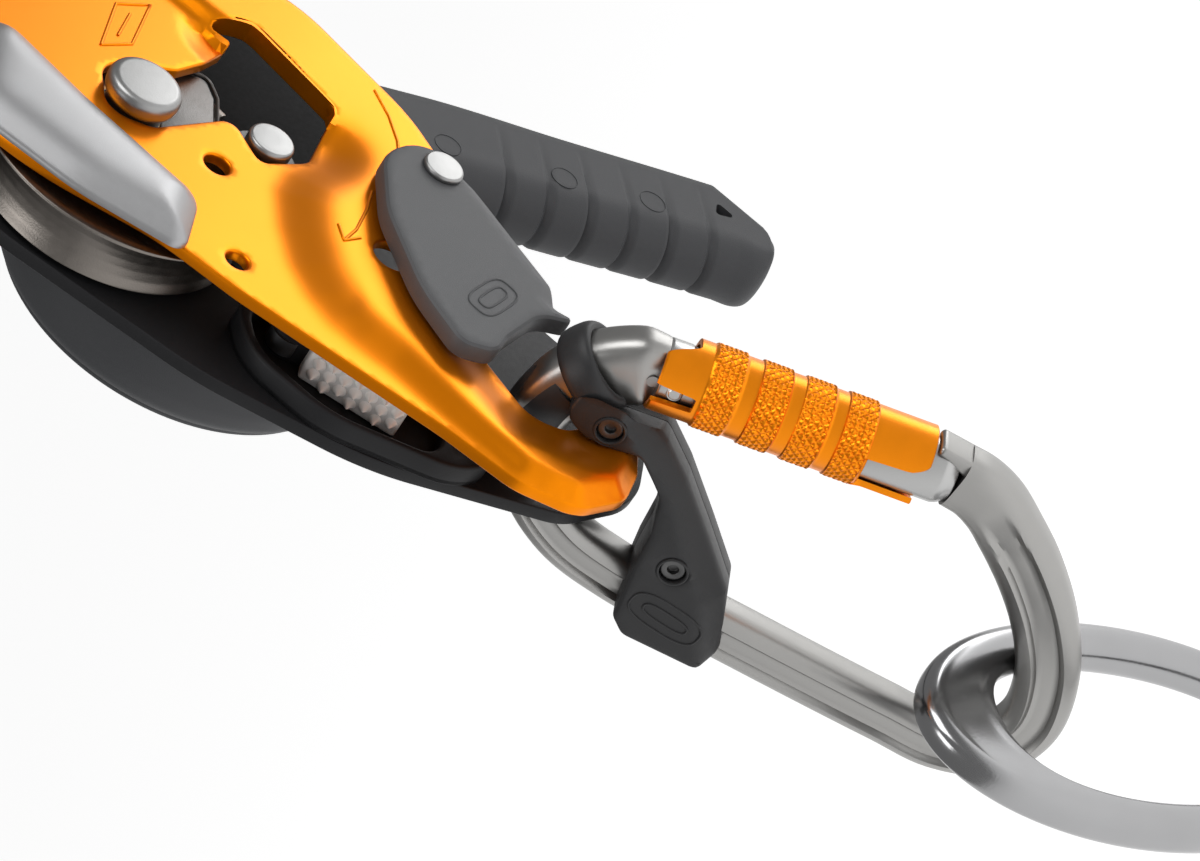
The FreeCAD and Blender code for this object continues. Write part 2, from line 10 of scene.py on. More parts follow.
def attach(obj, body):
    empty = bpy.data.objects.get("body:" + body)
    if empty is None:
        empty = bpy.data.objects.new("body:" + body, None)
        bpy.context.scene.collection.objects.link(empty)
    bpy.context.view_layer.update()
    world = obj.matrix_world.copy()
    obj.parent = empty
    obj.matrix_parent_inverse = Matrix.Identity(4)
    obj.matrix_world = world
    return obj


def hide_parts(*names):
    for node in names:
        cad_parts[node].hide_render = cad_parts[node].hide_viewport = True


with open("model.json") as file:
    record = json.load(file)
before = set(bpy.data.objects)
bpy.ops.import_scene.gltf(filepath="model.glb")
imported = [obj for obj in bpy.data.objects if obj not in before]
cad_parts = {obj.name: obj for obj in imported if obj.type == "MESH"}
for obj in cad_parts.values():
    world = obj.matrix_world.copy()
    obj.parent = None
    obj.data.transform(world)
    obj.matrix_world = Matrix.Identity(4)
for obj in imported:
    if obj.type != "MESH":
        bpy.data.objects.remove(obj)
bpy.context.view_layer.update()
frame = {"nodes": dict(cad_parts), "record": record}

# Looks of the rope grab. Lengths are millimetres in the row frame; MM turns them into metres.
MM = 0.001
WELD = 0.002
RIGHT, DEPTH, UP = Vector((1, 0, 0)), Vector((0, 1, 0)), Vector((0, 0, 1))


# ---- curves and outlines
def arc_corners(points, step=0.7):
    """A closed outline as a list of (a, b); each point is (a, b, corner radius)."""
    out = []
    count = len(points)
    for i, (a, b, radius) in enumerate(points):
        here = Vector((a, b))
        before = Vector(points[i - 1][:2]) - here
        after = Vector(points[(i + 1) % count][:2]) - here
        half = before.angle(after) / 2
        if radius <= 0 or half > math.pi / 2 - 0.01:
            out.append(here)
            continue
        run = min(radius / math.tan(half), 0.49 * before.length, 0.49 * after.length)
        true_radius = run * math.tan(half)
        bisector = (before.normalized() + after.normalized()).normalized()
        centre = here + bisector * true_radius / math.sin(half)
        first = here + before.normalized() * run - centre
        last = here + after.normalized() * run - centre
        arc = first.angle_signed(last)
        steps = max(3, int(abs(arc) * true_radius / step))
        for k in range(steps + 1):
            turn = -arc * k / steps
            out.append(centre + Vector((first.x * math.cos(turn) - first.y * math.sin(turn),
                                        first.x * math.sin(turn) + first.y * math.cos(turn))))
    return thinned(out, step)


def thinned(loop, step):
    """The loop with its long stretches divided to about one step."""
    out = []
    for i, here in enumerate(loop):
        following = loop[(i + 1) % len(loop)]
        run = (following - here).length
        if run < 1e-4:
            continue
        pieces = max(1, round(run / step))
        out += [here.lerp(following, k / pieces) for k in range(pieces)]
    return out


def turns_of(count):
    """Evenly spaced angles of one full turn."""
    return [2 * math.pi * k / count for k in range(count)]


def blunt(value, power):
    """A sine or cosine raised to a power, with its sign kept."""
    return math.copysign(abs(value) ** power, value)


def circle(a, b, radius, count=40):
    """A round loop."""
    return [Vector((a + radius * math.cos(t), b + radius * math.sin(t))) for t in turns_of(count)]


def smooth_line(points, count):
    """A centripetal curve through the points, as count evenly spaced Vectors."""
    pts = [Vector(p) for p in points]
    pts = [pts[0] * 2 - pts[1]] + pts + [pts[-1] * 2 - pts[-2]]
    dense = []
    for i in range(1, len(pts) - 2):
        p0, p1, p2, p3 = pts[i - 1:i + 3]
        t1 = (p1 - p0).length ** 0.5
        t2 = t1 + (p2 - p1).length ** 0.5
        t3 = t2 + (p3 - p2).length ** 0.5
        for k in range(24):
            t = t1 + (t2 - t1) * k / 24
            a1 = p0 * ((t1 - t) / t1) + p1 * (t / t1)
            a2 = p1 * ((t2 - t) / (t2 - t1)) + p2 * ((t - t1) / (t2 - t1))
            a3 = p2 * ((t3 - t) / (t3 - t2)) + p3 * ((t - t2) / (t3 - t2))
            b1 = a1 * ((t2 - t) / t2) + a2 * (t / t2)
            b2 = a2 * ((t3 - t) / (t3 - t1)) + a3 * ((t - t1) / (t3 - t1))
            dense.append(b1 * ((t2 - t) / (t2 - t1)) + b2 * ((t - t1) / (t2 - t1)))
    dense.append(pts[-2])
    return even(dense, count)


def even(dense, count):
    """Evenly spaced points along a dense line."""
    lengths = [0.0]
    for a, b in zip(dense, dense[1:]):
        lengths.append(lengths[-1] + (b - a).length)
    stops = [lengths[-1] * k / (count - 1) for k in range(count)]
    out, j = [], 0
    for stop in stops:
        while j < len(lengths) - 2 and lengths[j + 1] < stop:
            j += 1
        share = (stop - lengths[j]) / max(1e-9, lengths[j + 1] - lengths[j])
        out.append(dense[j].lerp(dense[j + 1], min(1, max(0, share))))
    return out


def divided(points, count):
    """A line with each of its stretches cut into count pieces."""
    pts = [Vector(p) for p in points]
    return [a.lerp(b, k / count) for a, b in zip(pts, pts[1:]) for k in range(count)] + [pts[-1]]


def ease(t):
    """Smooth step from 0 to 1."""
    t = min(1.0, max(0.0, t))
    return t * t * (3 - 2 * t)


def inside(points, loop):
    """Which of the 2D points (array) lie inside a closed loop (array)."""
    x, y = points[:, 0][:, None], points[:, 1][:, None]
    x1, y1 = loop[:, 0][None, :], loop[:, 1][None, :]
    x2, y2 = np.roll(loop[:, 0], -1)[None, :], np.roll(loop[:, 1], -1)[None, :]
    crosses = ((y1 > y) != (y2 > y)) & (x < (x2 - x1) * (y - y1) / (y2 - y1 + 1e-12) + x1)
    return crosses.sum(1) % 2 == 1


def edge_distance(points, loop, closed=True):
    """Distance of each 2D point to a line."""
    start = loop if closed else loop[:-1]
    end = np.roll(loop, -1, axis=0) if closed else loop[1:]
    way = end - start
    rel = points[:, None, :] - start[None, :, :]
    share = np.clip((rel * way).sum(2) / ((way * way).sum(1) + 1e-12), 0, 1)
    gap = rel - share[:, :, None] * way[None, :, :]
    return np.sqrt((gap * gap).sum(2)).min(1)


# ---- mesh builders
def carved(solid, tool):
    """A closed (verts, faces) solid with another one cut away."""
    pair = []
    for verts, faces in (solid, tool):
        mesh = bpy.data.meshes.new("carving")
        mesh.from_pydata(verts, [], faces)
        work = bmesh.new()
        work.from_mesh(mesh)
        bmesh.ops.recalc_face_normals(work, faces=work.faces)
        work.to_mesh(mesh)
        work.free()
        pair.append(bpy.data.objects.new("carving", mesh))
        bpy.context.scene.collection.objects.link(pair[-1])
    cut = pair[0].modifiers.new("cut", "BOOLEAN")
    cut.operation, cut.solver, cut.object = "DIFFERENCE", "EXACT", pair[1]
    result = pair[0].evaluated_get(bpy.context.evaluated_depsgraph_get()).to_mesh()
    out = [v.co.copy() for v in result.vertices], [tuple(f.vertices) for f in result.polygons]
    for obj in pair:
        bpy.data.objects.remove(obj, do_unlink=True)
    return out


def to_object(name, verts, faces, body, mat, slot_name, sharp=38, replaces=()):
    """A finished piece: true edges, material, the body it rides on and the CAD nodes it replaces."""
    mesh = bpy.data.meshes.new(name)
    mesh.from_pydata([Vector(v) * MM for v in verts], [], faces)
    mesh.validate()
    obj = bpy.data.objects.new(name, mesh)
    bpy.context.scene.collection.objects.link(obj)
    work = bmesh.new()
    work.from_mesh(mesh)
    bmesh.ops.remove_doubles(work, verts=work.verts, dist=WELD * MM)
    bmesh.ops.recalc_face_normals(work, faces=work.faces)
    work.to_mesh(mesh)
    work.free()
    mesh.shade_smooth()
    mesh.set_sharp_from_angle(angle=math.radians(sharp))
    mesh.materials.append(mat)
    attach(obj, body)
    if replaces:
        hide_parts(*replaces)


def rings_to_faces(rings, closed=False):
    """Quads between rings of equal length; returns flat verts and faces."""
    verts = [v for ring in rings for v in ring]
    n = len(rings[0])
    faces = []
    for i in range(len(rings) if closed else len(rings) - 1):
        here, ahead = i * n, (i + 1) % len(rings) * n
        for k in range(n):
            following = (k + 1) % n
            faces.append((here + k, here + following, ahead + following, ahead + k))
    return verts, faces


def capped(rings):
    """Quads between rings, with one face over the first ring and one over the last."""
    verts, faces = rings_to_faces(rings)
    n = len(rings[0])
    return verts, faces + [tuple(range(n)), tuple(range(len(verts) - n, len(verts)))]


def shifted(loop, distance):
    """A closed loop moved to its left by a distance."""
    out = []
    for i, here in enumerate(loop):
        way = (loop[(i + 1) % len(loop)] - loop[i - 1]).normalized()
        out.append(here + Vector((-way.y, way.x)) * distance)
    return out


def area_of(loop):
    """Signed area of a closed loop, positive when it turns to the left."""
    return sum(a.x * b.y - b.x * a.y for a, b in zip(loop, loop[1:] + loop[:1])) / 2


def level(points):
    """No relief."""
    return np.zeros(len(points))


def placed(plane, p, depth):
    """A 2D point (x, z) at a depth in y for the front plane, or (y, z) at a depth in x for the side."""
    return (p[0], depth, p[1]) if plane == "front" else (depth, p[0], p[1])


def slab(plane, outline, near, far, holes=(), near_edge=0.6, far_edge=0.4, relief=None, far_relief=None,
         grid=2.2):
    """A plate with rounded edges and a relief, as verts and faces.

    relief(points) gives how far each point of the near cap stands out toward the near side; the far cap
    follows it unless far_relief is given. grid is the spacing of the points that carry the relief.
    """
    sign = 1.0 if near > far else -1.0
    loops = [outline if area_of(outline) > 0 else outline[::-1]]
    loops += [h[::-1] if area_of(h) > 0 else h for h in holes]
    verts, faces = [], []

    def add(points, depth, shape):
        start = len(verts)
        rise = (shape or level)(np.array([(p[0], p[1]) for p in points])) * sign
        for p, r in zip(points, rise):
            verts.append(placed(plane, p, depth + r))
        return start

    caps = {"near": [], "far": []}
    far_shape = far_relief if far_relief is not None else relief
    quarter = [k / 3 * math.pi / 2 for k in range(4)]
    rows = [(near_edge, near, -sign, t, relief) for t in quarter]
    rows += [(far_edge, far, sign, t, far_shape) for t in quarter[::-1]]
    for loop in loops:
        n = len(loop)
        starts = [add(shifted(loop, edge * (1 - math.sin(t))),
                      depth + inward * edge * (1 - math.cos(t)), shape)
                  for edge, depth, inward, t, shape in rows]
        for s0, s1 in zip(starts, starts[1:]):
            for k in range(n):
                faces.append((s0 + k, s0 + (k + 1) % n, s1 + (k + 1) % n, s1 + k))
        caps["near"].append((starts[0], n))
        caps["far"].append((starts[-1], n))
    for side, shape, depth in (("near", relief, near), ("far", far_shape, far)):
        ids, flat, edges = [], [], []
        for start, n in caps[side]:
            base = len(flat)
            for k in range(n):
                v = verts[start + k]
                flat.append(Vector((v[0], v[2])) if plane == "front" else Vector((v[1], v[2])))
                ids.append(start + k)
                edges.append((base + k, base + (k + 1) % n))
        sizes = [n for start, n in caps[side]]
        rims = [np.array([flat[e[0]] for e in edges[b:b + n]])
                for b, n in zip(np.cumsum([0] + sizes[:-1]), sizes)]
        if shape is not None:
            low, high = rims[0].min(0), rims[0].max(0)
            xs, ys = np.meshgrid(np.arange(low[0], high[0], grid), np.arange(low[1], high[1], grid))
            xs[::2] += grid / 2
            inner = np.column_stack((xs.ravel(), ys.ravel()))
            keep = inside(inner, rims[0]) & (edge_distance(inner, rims[0]) > grid * 0.4)
            for rim in rims[1:]:
                keep &= ~inside(inner, rim) & (edge_distance(inner, rim) > grid * 0.4)
            inner = inner[keep]
            start = add([tuple(p) for p in inner], depth, shape)
            flat += [Vector(p) for p in inner]
            ids += list(range(start, start + len(inner)))
        found = delaunay_2d_cdt(flat, edges, [], 0, 1e-7)
        tris = [f for f in found[2] if len(f) == 3]
        places = np.array([found[0][i] for f in tris for i in f]).reshape(-1, 3, 2).mean(1)
        good = inside(places, rims[0])
        for rim in rims[1:]:
            good &= ~inside(places, rim)
        for f, ok in zip(tris, good):
            if ok and all(found[3][i] for i in f):
                faces.append(tuple(ids[found[3][i][0]] for i in f))
    return verts, faces


def lathe(profile, centre, axis="y", count=96, turn=None):
    """A turned piece; profile is (radius, along) from end to end. turn is a Matrix for other axes."""
    rings = []
    for radius, along in profile:
        ring = []
        for angle in turns_of(count):
            a, b = radius * math.cos(angle), radius * math.sin(angle)
            if turn is not None:
                ring.append(Vector(centre) + turn @ Vector((a, b, along)))
            elif axis == "y":
                ring.append(Vector((centre[0] + a, centre[1] + along, centre[2] + b)))
            else:
                ring.append(Vector((centre[0] + along, centre[1] + a, centre[2] + b)))
        rings.append(ring)
    verts, faces = rings_to_faces(rings)
    for row in (0, len(rings) - 1):
        if profile[row][0] > 0.01:
            faces.append(tuple(range(row * count, (row + 1) * count)))
    return verts, faces


def rounded_profile(steps, edge=0.5):
    """A lathe profile with each outer corner of (radius, along) steps rounded a little."""
    out = [steps[0]]
    for before, here, after in zip(steps, steps[1:], steps[2:]):
        b = Vector(before) - Vector(here)
        a = Vector(after) - Vector(here)
        run = min(edge, b.length * 0.45, a.length * 0.45)
        p, q = Vector(here) + b.normalized() * run, Vector(here) + a.normalized() * run
        for k in range(4):
            t = k / 3
            out.append(tuple(p * (1 - t) ** 2 + Vector(here) * 2 * t * (1 - t) + q * t ** 2))
    out.append(steps[-1])
    return out


def sweep(line, across, section, closed=False):
    """A bar along a line; section(share) gives its ring as (out, side) pairs, side lying along across."""
    rings = []
    count = len(line)
    for i, here in enumerate(line):
        ahead = line[(i + 1) % count] if closed or i < count - 1 else line[i]
        behind = line[i - 1] if closed or i > 0 else line[i]
        way = (ahead - behind).normalized()
        out = across.cross(way).normalized()
        side = way.cross(out).normalized()
        rings.append([here + out * a + side * b for a, b in section(i / (count if closed else count - 1))])
    return rings_to_faces(rings, True) if closed else capped(rings)


def joined(*parts):
    """Several (verts, faces) as one."""
    verts, faces = [], []
    for v, f in parts:
        base = len(verts)
        verts += list(v)
        faces += [tuple(base + i for i in face) for face in f]
    return verts, faces


def rounded_loop(middle, long_way, half_long, half_wide, power=0.6):
    """A flattened oval around a middle point."""
    cross = Vector((-long_way.y, long_way.x))
    return [middle + long_way * blunt(math.cos(t), power) * half_long
            + cross * blunt(math.sin(t), power) * half_wide for t in turns_of(48)]


def bead(plane, loop, depth, thick, high):
    """A fine raised line along a closed 2D loop."""
    ring = [(high * math.cos(t), thick * math.sin(t)) for t in turns_of(8)]
    across = DEPTH if plane == "front" else RIGHT
    return sweep([Vector(placed(plane, p, depth)) for p in loop], across, lambda share: ring, True)


# ---- materials
LOOKS = {}


def material(name, colour, metal, rough, noise_scale, colour_change, rough_change, bump, bump_scale,
             specular=0.5):
    """A principled material with fine procedural change in colour, roughness and height."""
    mat = LOOKS[name] = bpy.data.materials.new(name)
    mat.use_nodes = True
    nodes, links = mat.node_tree.nodes, mat.node_tree.links
    shader = nodes["Principled BSDF"]
    shader.inputs["Metallic"].default_value = metal
    shader.inputs["Specular IOR Level"].default_value = specular
    place = nodes.new("ShaderNodeTexCoord")
    broad = nodes.new("ShaderNodeTexNoise")
    broad.inputs["Scale"].default_value = noise_scale
    broad.inputs["Detail"].default_value = 4
    links.new(place.outputs["Object"], broad.inputs["Vector"])
    tint = nodes.new("ShaderNodeMix")
    tint.data_type = "RGBA"
    tint.inputs["A"].default_value = [c * (1 - colour_change) for c in colour] + [1]
    tint.inputs["B"].default_value = [min(1, c * (1 + colour_change)) for c in colour] + [1]
    links.new(broad.outputs["Fac"], tint.inputs["Factor"])
    links.new(tint.outputs["Result"], shader.inputs["Base Color"])
    spread = nodes.new("ShaderNodeMapRange")
    spread.inputs["To Min"].default_value = max(0.02, rough - rough_change)
    spread.inputs["To Max"].default_value = min(1.0, rough + rough_change)
    links.new(broad.outputs["Fac"], spread.inputs["Value"])
    links.new(spread.outputs["Result"], shader.inputs["Roughness"])
    fine = nodes.new("ShaderNodeTexNoise")
    fine.inputs["Scale"].default_value = bump_scale
    fine.inputs["Detail"].default_value = 3
    links.new(place.outputs["Object"], fine.inputs["Vector"])
    height = nodes.new("ShaderNodeBump")
    height.inputs["Strength"].default_value = bump
    height.inputs["Distance"].default_value = 0.0003
    links.new(fine.outputs["Fac"], height.inputs["Height"])
    links.new(height.outputs["Normal"], shader.inputs["Normal"])
    return mat


ORANGE = material("orange_paint", (0.80, 0.218, 0.001), 0.86, 0.30, 40, 0.03, 0.04, 0.02, 3000,
                  specular=0.15)
ORANGE_METAL = material("orange_anodised", (0.86, 0.245, 0.004), 0.85, 0.32, 300, 0.04, 0.05, 0.03,
                        2500, specular=0.3)
BLACK = material("black_paint", (0.010, 0.010, 0.011), 0.0, 0.5, 900, 0.1, 0.08, 0.12, 4000,
                 specular=0.22)
GREY_PLASTIC = material("grey_plastic", (0.040, 0.041, 0.044), 0.0, 0.55, 900, 0.08, 0.06, 0.18,
                        5000, specular=0.3)
GATE_PLASTIC = material("gate_plastic", (0.064, 0.065, 0.068), 0.0, 0.5, 900, 0.08, 0.06, 0.18,
                        5000, specular=0.35)
BLACK_PLASTIC = material("black_plastic", (0.017, 0.017, 0.018), 0.0, 0.46, 900, 0.1, 0.07, 0.12,
                         5000, specular=0.35)
STEEL = material("brushed_steel", (0.29, 0.29, 0.287), 1.0, 0.36, 700, 0.05, 0.06, 0.05, 2500)
DARK_STEEL = material("dark_steel", (0.10, 0.10, 0.10), 0.9, 0.4, 700, 0.1, 0.08, 0.08, 2500)
SATIN = material("satin_steel", (0.34, 0.34, 0.345), 1.0, 0.42, 1200, 0.03, 0.04, 0.06, 6000)
CAM_STEEL = material("cam_steel", (0.19, 0.172, 0.155), 1.0, 0.36, 500, 0.12, 0.08, 0.12, 3000)
NECK_STEEL = material("neck_steel", (0.13, 0.125, 0.12), 1.0, 0.34, 500, 0.12, 0.08, 0.2, 4000)
# partly the plate's bright metal, partly painted light: pale, mostly non-metal colour so the toothed face
# looks lit even where the lamps leave it in shade
NICKEL_WITH_PAINTED_LIGHT = material("nickel_with_painted_light", (0.80, 0.79, 0.77), 0.25, 0.38, 900, 0.05, 0.05, 0.08, 3000)
SPRING = material("spring_steel", (0.25, 0.25, 0.26), 1.0, 0.35, 700, 0.05, 0.05, 0.04, 2500)
# painted shade: near-black, almost unreflecting look for the sheet behind the window, standing in for the
# shade between the plates
PAINTED_SHADE_BLACK = material("painted_shade_black", (0.0035, 0.0035, 0.0036), 0.0, 0.6, 900, 0.1, 0.08, 0.1, 4000,
                 specular=0.08)
BRONZE = material("bronze", (0.45, 0.28, 0.12), 1.0, 0.4, 700, 0.1, 0.08, 0.08, 2500)
GREY_METAL = material("grey_aluminium", (0.33, 0.325, 0.315), 1.0, 0.36, 300, 0.04, 0.05, 0.03, 3500)
GATE_METAL = material("gate_aluminium", (0.42, 0.42, 0.415), 1.0, 0.32, 300, 0.03, 0.05, 0.03, 3500)
POLISHED = material("polished_aluminium", (0.33, 0.33, 0.335), 1.0, 0.20, 120, 0.05, 0.06, 0.03, 1500)

# every CAD node takes the look of its slot
for part in frame["record"]["subparts"]:
    node = frame["nodes"][part["node"]]
    node.data.materials.clear()
    node.data.materials.append(LOOKS[part["material_slot"]])

# ---- shared places
CAM_AXLE = (25.3, 90.0)
HUB_AXLE = (32.5, 63.1)
PLATE_PIVOT = (50.0, 122.0)
HUB_CENTRE = (HUB_AXLE[0], 0, HUB_AXLE[1])
GATE_PIN = (40.0, 31.0)
CATCH_AXLE = (-4.0, 47.0)

# ---- moving side plate
FRONT_EDGE = [(-11, -22, 9), (-20, -20.5, 8), (-29, -12, 9), (-30, 1, 14), (-25, 17, 60),
              (-15.5, 61, 50), (-10, 78, 40), (-8, 104, 60), (4, 137, 30), (64, 141, 34), (79, 96, 50),
              (77.5, 66, 30), (60, 38.5, 40), (46, 26, 20), (33, 12, 20), (18, 6, 5), (12, 14, 4),
              (0, 12, 4), (-9.8, 1, 8), (-8, -9, 7), (6, -11, 3), (7.4, -20, 5)]
WINDOW_EDGE = [(25, 64, 2), (32.2, 54.8, 5.5), (50, 52.8, 3.5), (63.5, 73.5, 1.5), (59, 82.5, 1.0),
               (57, 76, 0.8), (47, 79.6, 7), (40, 84.5, 4), (31.5, 98.8, 6), (17.6, 95, 6),
               (19.4, 85.5, 4), (34, 71.5, 3)]
LOW_AREA = [(-20, 31), (-18.5, 38), (-16, 44.5), (-10, 51), (-2.5, 56), (8, 60), (19, 62.5), (27, 61.5),
            (34, 58), (45, 66), (55, 76), (57.5, 84), (63, 98), (60, 118), (44, 142), (-40, 142),
            (-60, 31), (-60, -50), (10, -50), (10, -22.3), (-10, -22.3), (-20, -21), (-29.2, -12.2),
            (-30.3, 1), (-25.2, 17)]
PLATE_FRONT, PLATE_BACK = -10.0, -7.5
RISE = 2.3
NOTCH_LINE = [(18, 6), (12, 13.5), (0, 12), (-9, 2), (-8, -9), (6, -11), (7.4, -20)]
LIP_TIP = (57, 76)


def plate_relief(points):
    """How far the sheet stands out: flat at the upper left, raised at the right and the foot."""
    low = np.array(LOW_AREA, float)
    away = edge_distance(points, low)
    away[inside(points, low)] = 0
    width = np.interp(points[:, 1], [-5, 12, 40, 60], [5.0, 9.0, 18.0, 15.0])
    width = np.where(points[:, 0] > 45, np.minimum(width, 6.0), width)
    share = np.clip(away / width, 0, 1)
    rise = RISE * share ** 3 * (share * (6 * share - 15) + 10)
    dish = np.clip(edge_distance(points, np.array(NOTCH_LINE, float), closed=False) / 13.0, 0, 1)
    rise *= dish * dish * (3 - 2 * dish)
    tip = np.hypot(points[:, 0] - LIP_TIP[0], points[:, 1] - LIP_TIP[1])
    rise -= 2.2 * np.clip(1 - tip / 11.0, 0, 1) * (away <= 0)
    pit = np.hypot(points[:, 0] - 40, (points[:, 1] - 51)) / 6.0
    return rise - 1.1 * np.exp(-pit ** 2)


def make_moving_plate():
    """Pressed and painted sheet with its window and lead-in lip."""
    holes = [arc_corners(WINDOW_EDGE), circle(18, 71.8, 2.75), circle(-7, 63, 2.4), circle(14.0, 35.0, 4.0),
             circle(8, 100, 1.7, 24), circle(16, 116, 1.7, 24), circle(*PLATE_PIVOT, 4.1)]
    sheet = slab("front", arc_corners(FRONT_EDGE), PLATE_FRONT, PLATE_BACK, holes, 0.45, 0.35, plate_relief,
                 grid=1.2)
    to_object("moving_side_plate_skin", *sheet, "moving_plate", ORANGE, "orange_paint", 34,
              ["moving_side_plate"])


make_moving_plate()


def make_plate_marks():
    """Raised lines of the pressing: turning arc, arrow and manual sign, as beads sunk in the sheet."""
    lines = [[(62, 46.6), (56, 42.5), (49.5, 39.6), (43, 38.2)],
             [(30, 42), (23.5, 42.2), (16, 43.2), (11, 45)],
             [(15.0, 46.8), (11, 45), (14.2, 42.0)],
             [(36, 100), (41, 94.4), (56, 93.4), (51, 99.8), (36, 100)],
             [(41.5, 97.5), (50, 96.6)]]
    ring = [(0.36 * math.cos(t), 0.34 * math.sin(t)) for t in turns_of(10)]
    parts = []
    for line in lines:
        path = divided(line, 6)
        heights = plate_relief(np.array([tuple(p) for p in path]))
        spine = [Vector((p.x, PLATE_FRONT + 0.05 - h, p.y)) for p, h in zip(path, heights)]
        parts.append(sweep(spine, DEPTH, lambda share: ring))
    to_object("plate_marks", *joined(*parts), "moving_plate", ORANGE, "orange_paint", 60)


make_plate_marks()

# ---- auxiliary brake
BRAKE_EDGE = [(-13.4, 73, 3), (3.5, 73.2, 7), (9.5, 85.5, 10), (15.5, 98, 30), (27.5, 119, 10),
              (20, 126, 6), (-2, 123, 12), (-10.8, 96, 40)]


def brake_relief(points):
    """A crown across the cover, highest near its outer third."""
    loop = np.array([tuple(p) for p in arc_corners(BRAKE_EDGE)])
    away = edge_distance(points, loop)
    return 3.4 * (1 - np.exp(-(away / 3.4) ** 1.4))


def make_brake():
    """Crowned cover, which also stands for its rivets."""
    cover = slab("front", arc_corners(BRAKE_EDGE), -11.3, -10.05, (), 0.6, 0.1, brake_relief, level, 1.2)
    to_object("auxiliary_brake_cover", *cover, "moving_plate", SATIN, "satin_steel", 40,
              ["auxiliary_brake", "brake_rivets"])


make_brake()

# ---- fixed plate
BACK_EDGE = [(6, -29.6, 16), (-8.6, -16, 14), (-20.6, 24, 60), (-19.5, 60, 60), (-8, 104, 60),
             (8, 138, 34), (76, 142, 36), (97, 106, 40), (96, 66, 30), (76, 38, 40), (48, 6, 22),
             (38, -16, 22), (23, -29.6, 14)]
# Outline of the near-black sheet that paints the shade seen through the window.
PAINTED_SHADE_EDGE = [(38, 46, 4), (60, 40, 8), (80, 47, 8), (94, 70, 8), (92, 88, 6), (82, 82, 6), (62, 82, 4),
              (54, 96, 4), (44, 98, 4), (38, 84, 4)]


def make_fixed_plate():
    """Rear plate with the ring's hole, and a near-black sheet behind the window that stands in as painted
    shade between the plates.
    """
    holes = [circle(3.4, -7.2, 11.2, 64), circle(*HUB_AXLE, 7.6), circle(*CAM_AXLE, 5.0),
             circle(*PLATE_PIVOT, 4.0)]
    sheet = slab("front", arc_corners(BACK_EDGE), 7.5, 10.5, holes, 0.35, 0.35)
    to_object("fixed_side_plate_skin", *sheet, "fixed_frame", BLACK, "black_paint", 34,
              ["fixed_side_plate"])
    shade_sheet = slab("front", arc_corners(PAINTED_SHADE_EDGE), 6.75, 7.45, [circle(50, 71, 0.8, 16)], 0.15, 0.05)
    to_object("fixed_plate_painted_shade_sheet", *shade_sheet, "fixed_frame", PAINTED_SHADE_BLACK, "black_paint", 34)


make_fixed_plate()


# ---- heads of the axles
def turned(name, profile, x, z, body, mat, slot_name, replaces, edge, count=96):
    """A turned piece on a front-to-rear line."""
    shape = lathe(rounded_profile(profile, edge), (x, 0, z), "y", count)
    to_object(name, *shape, body, mat, slot_name, 30, replaces)


for name, profile, place, body, node, edge in (
        ("cam_axle_turned", [(0.0, -14.7), (6.2, -14.7), (7.1, -14.3), (7.6, -13.3), (7.5, -11.6),
                             (6.9, -10.3), (6.0, -10.2), (6.0, 7.4), (4.98, 7.5), (4.98, 10.5), (0.0, 10.5)],
         CAM_AXLE, "fixed_frame", "cam_axle", 0.45),
        ("hub_axle_turned", [(0.0, -10.9), (4.4, -11.0), (4.8, -10.4), (4.8, -7.9), (3.5, -7.8),
                             (3.5, 30.8), (0.0, 31.0)],
         HUB_AXLE, "fixed_frame", "hub_axle", 0.3),
        ("gate_rivet_turned", [(0.0, -18.55), (3.9, -18.6), (4.2, -18.2), (4.2, -17.5), (2.0, -17.5),
                               (2.0, -7.6), (0.0, -7.5)],
         GATE_PIN, "moving_plate", "gate_rivet", 0.25),
        ("plate_pivot_turned", [(0.0, -12.4), (6.2, -12.4), (7.0, -11.6), (7.0, -10.2), (3.95, -10.1),
                                (3.95, 10.5), (5.5, 10.55), (5.5, 11.2), (5.0, 11.7), (0.0, 11.7)],
         PLATE_PIVOT, "fixed_frame", "plate_pivot_pin", 0.4)):
    turned(name, profile, *place, body, STEEL, "brushed_steel", [node], edge)

# ---- side gate
GATE_EDGE = [(47.3, 36, 9), (37, 43.3, 11), (20, 39.8, 24), (2, 29.8, 32), (-8.4, 19.6, 4.5),
             (-6.0, 12.4, 4.5), (0, 10.8, 9), (11, 5.6, 8), (14.2, -1.6, 1.2), (18.5, 2.3, 1),
             (24, 3.4, 8), (42.2, 22.7, 14)]


def gate_relief(points):
    """The gate falls away toward its right edge."""
    right = np.array([(46, 28), (42.2, 22.7), (33, 13), (24, 3.4), (18.5, 2.3)], float)
    away = edge_distance(points, right, closed=False)
    return -2.2 * np.clip(1 - away / 4.6, 0, 1)


def make_side_gate():
    """Moulded gate with its oval marks."""
    front = -17.4
    body = slab("front", arc_corners(GATE_EDGE), front, -13.2, [circle(*GATE_PIN, 2.1, 24)], 1.3, 0.3,
                gate_relief, level, 1.4)
    middle, long_way = Vector((9.0, 15.6)), Vector((0.90, -0.43)).normalized()
    marks = [bead("front", rounded_loop(middle, long_way, *halves), front + 0.04, 0.28, 0.26)
             for halves in ((6.4, 3.3), (4.2, 1.5))]
    to_object("side_gate_shell", *joined(body, *marks), "side_gate_body", GATE_PLASTIC, "grey_plastic", 28,
              ["side_gate"])


make_side_gate()


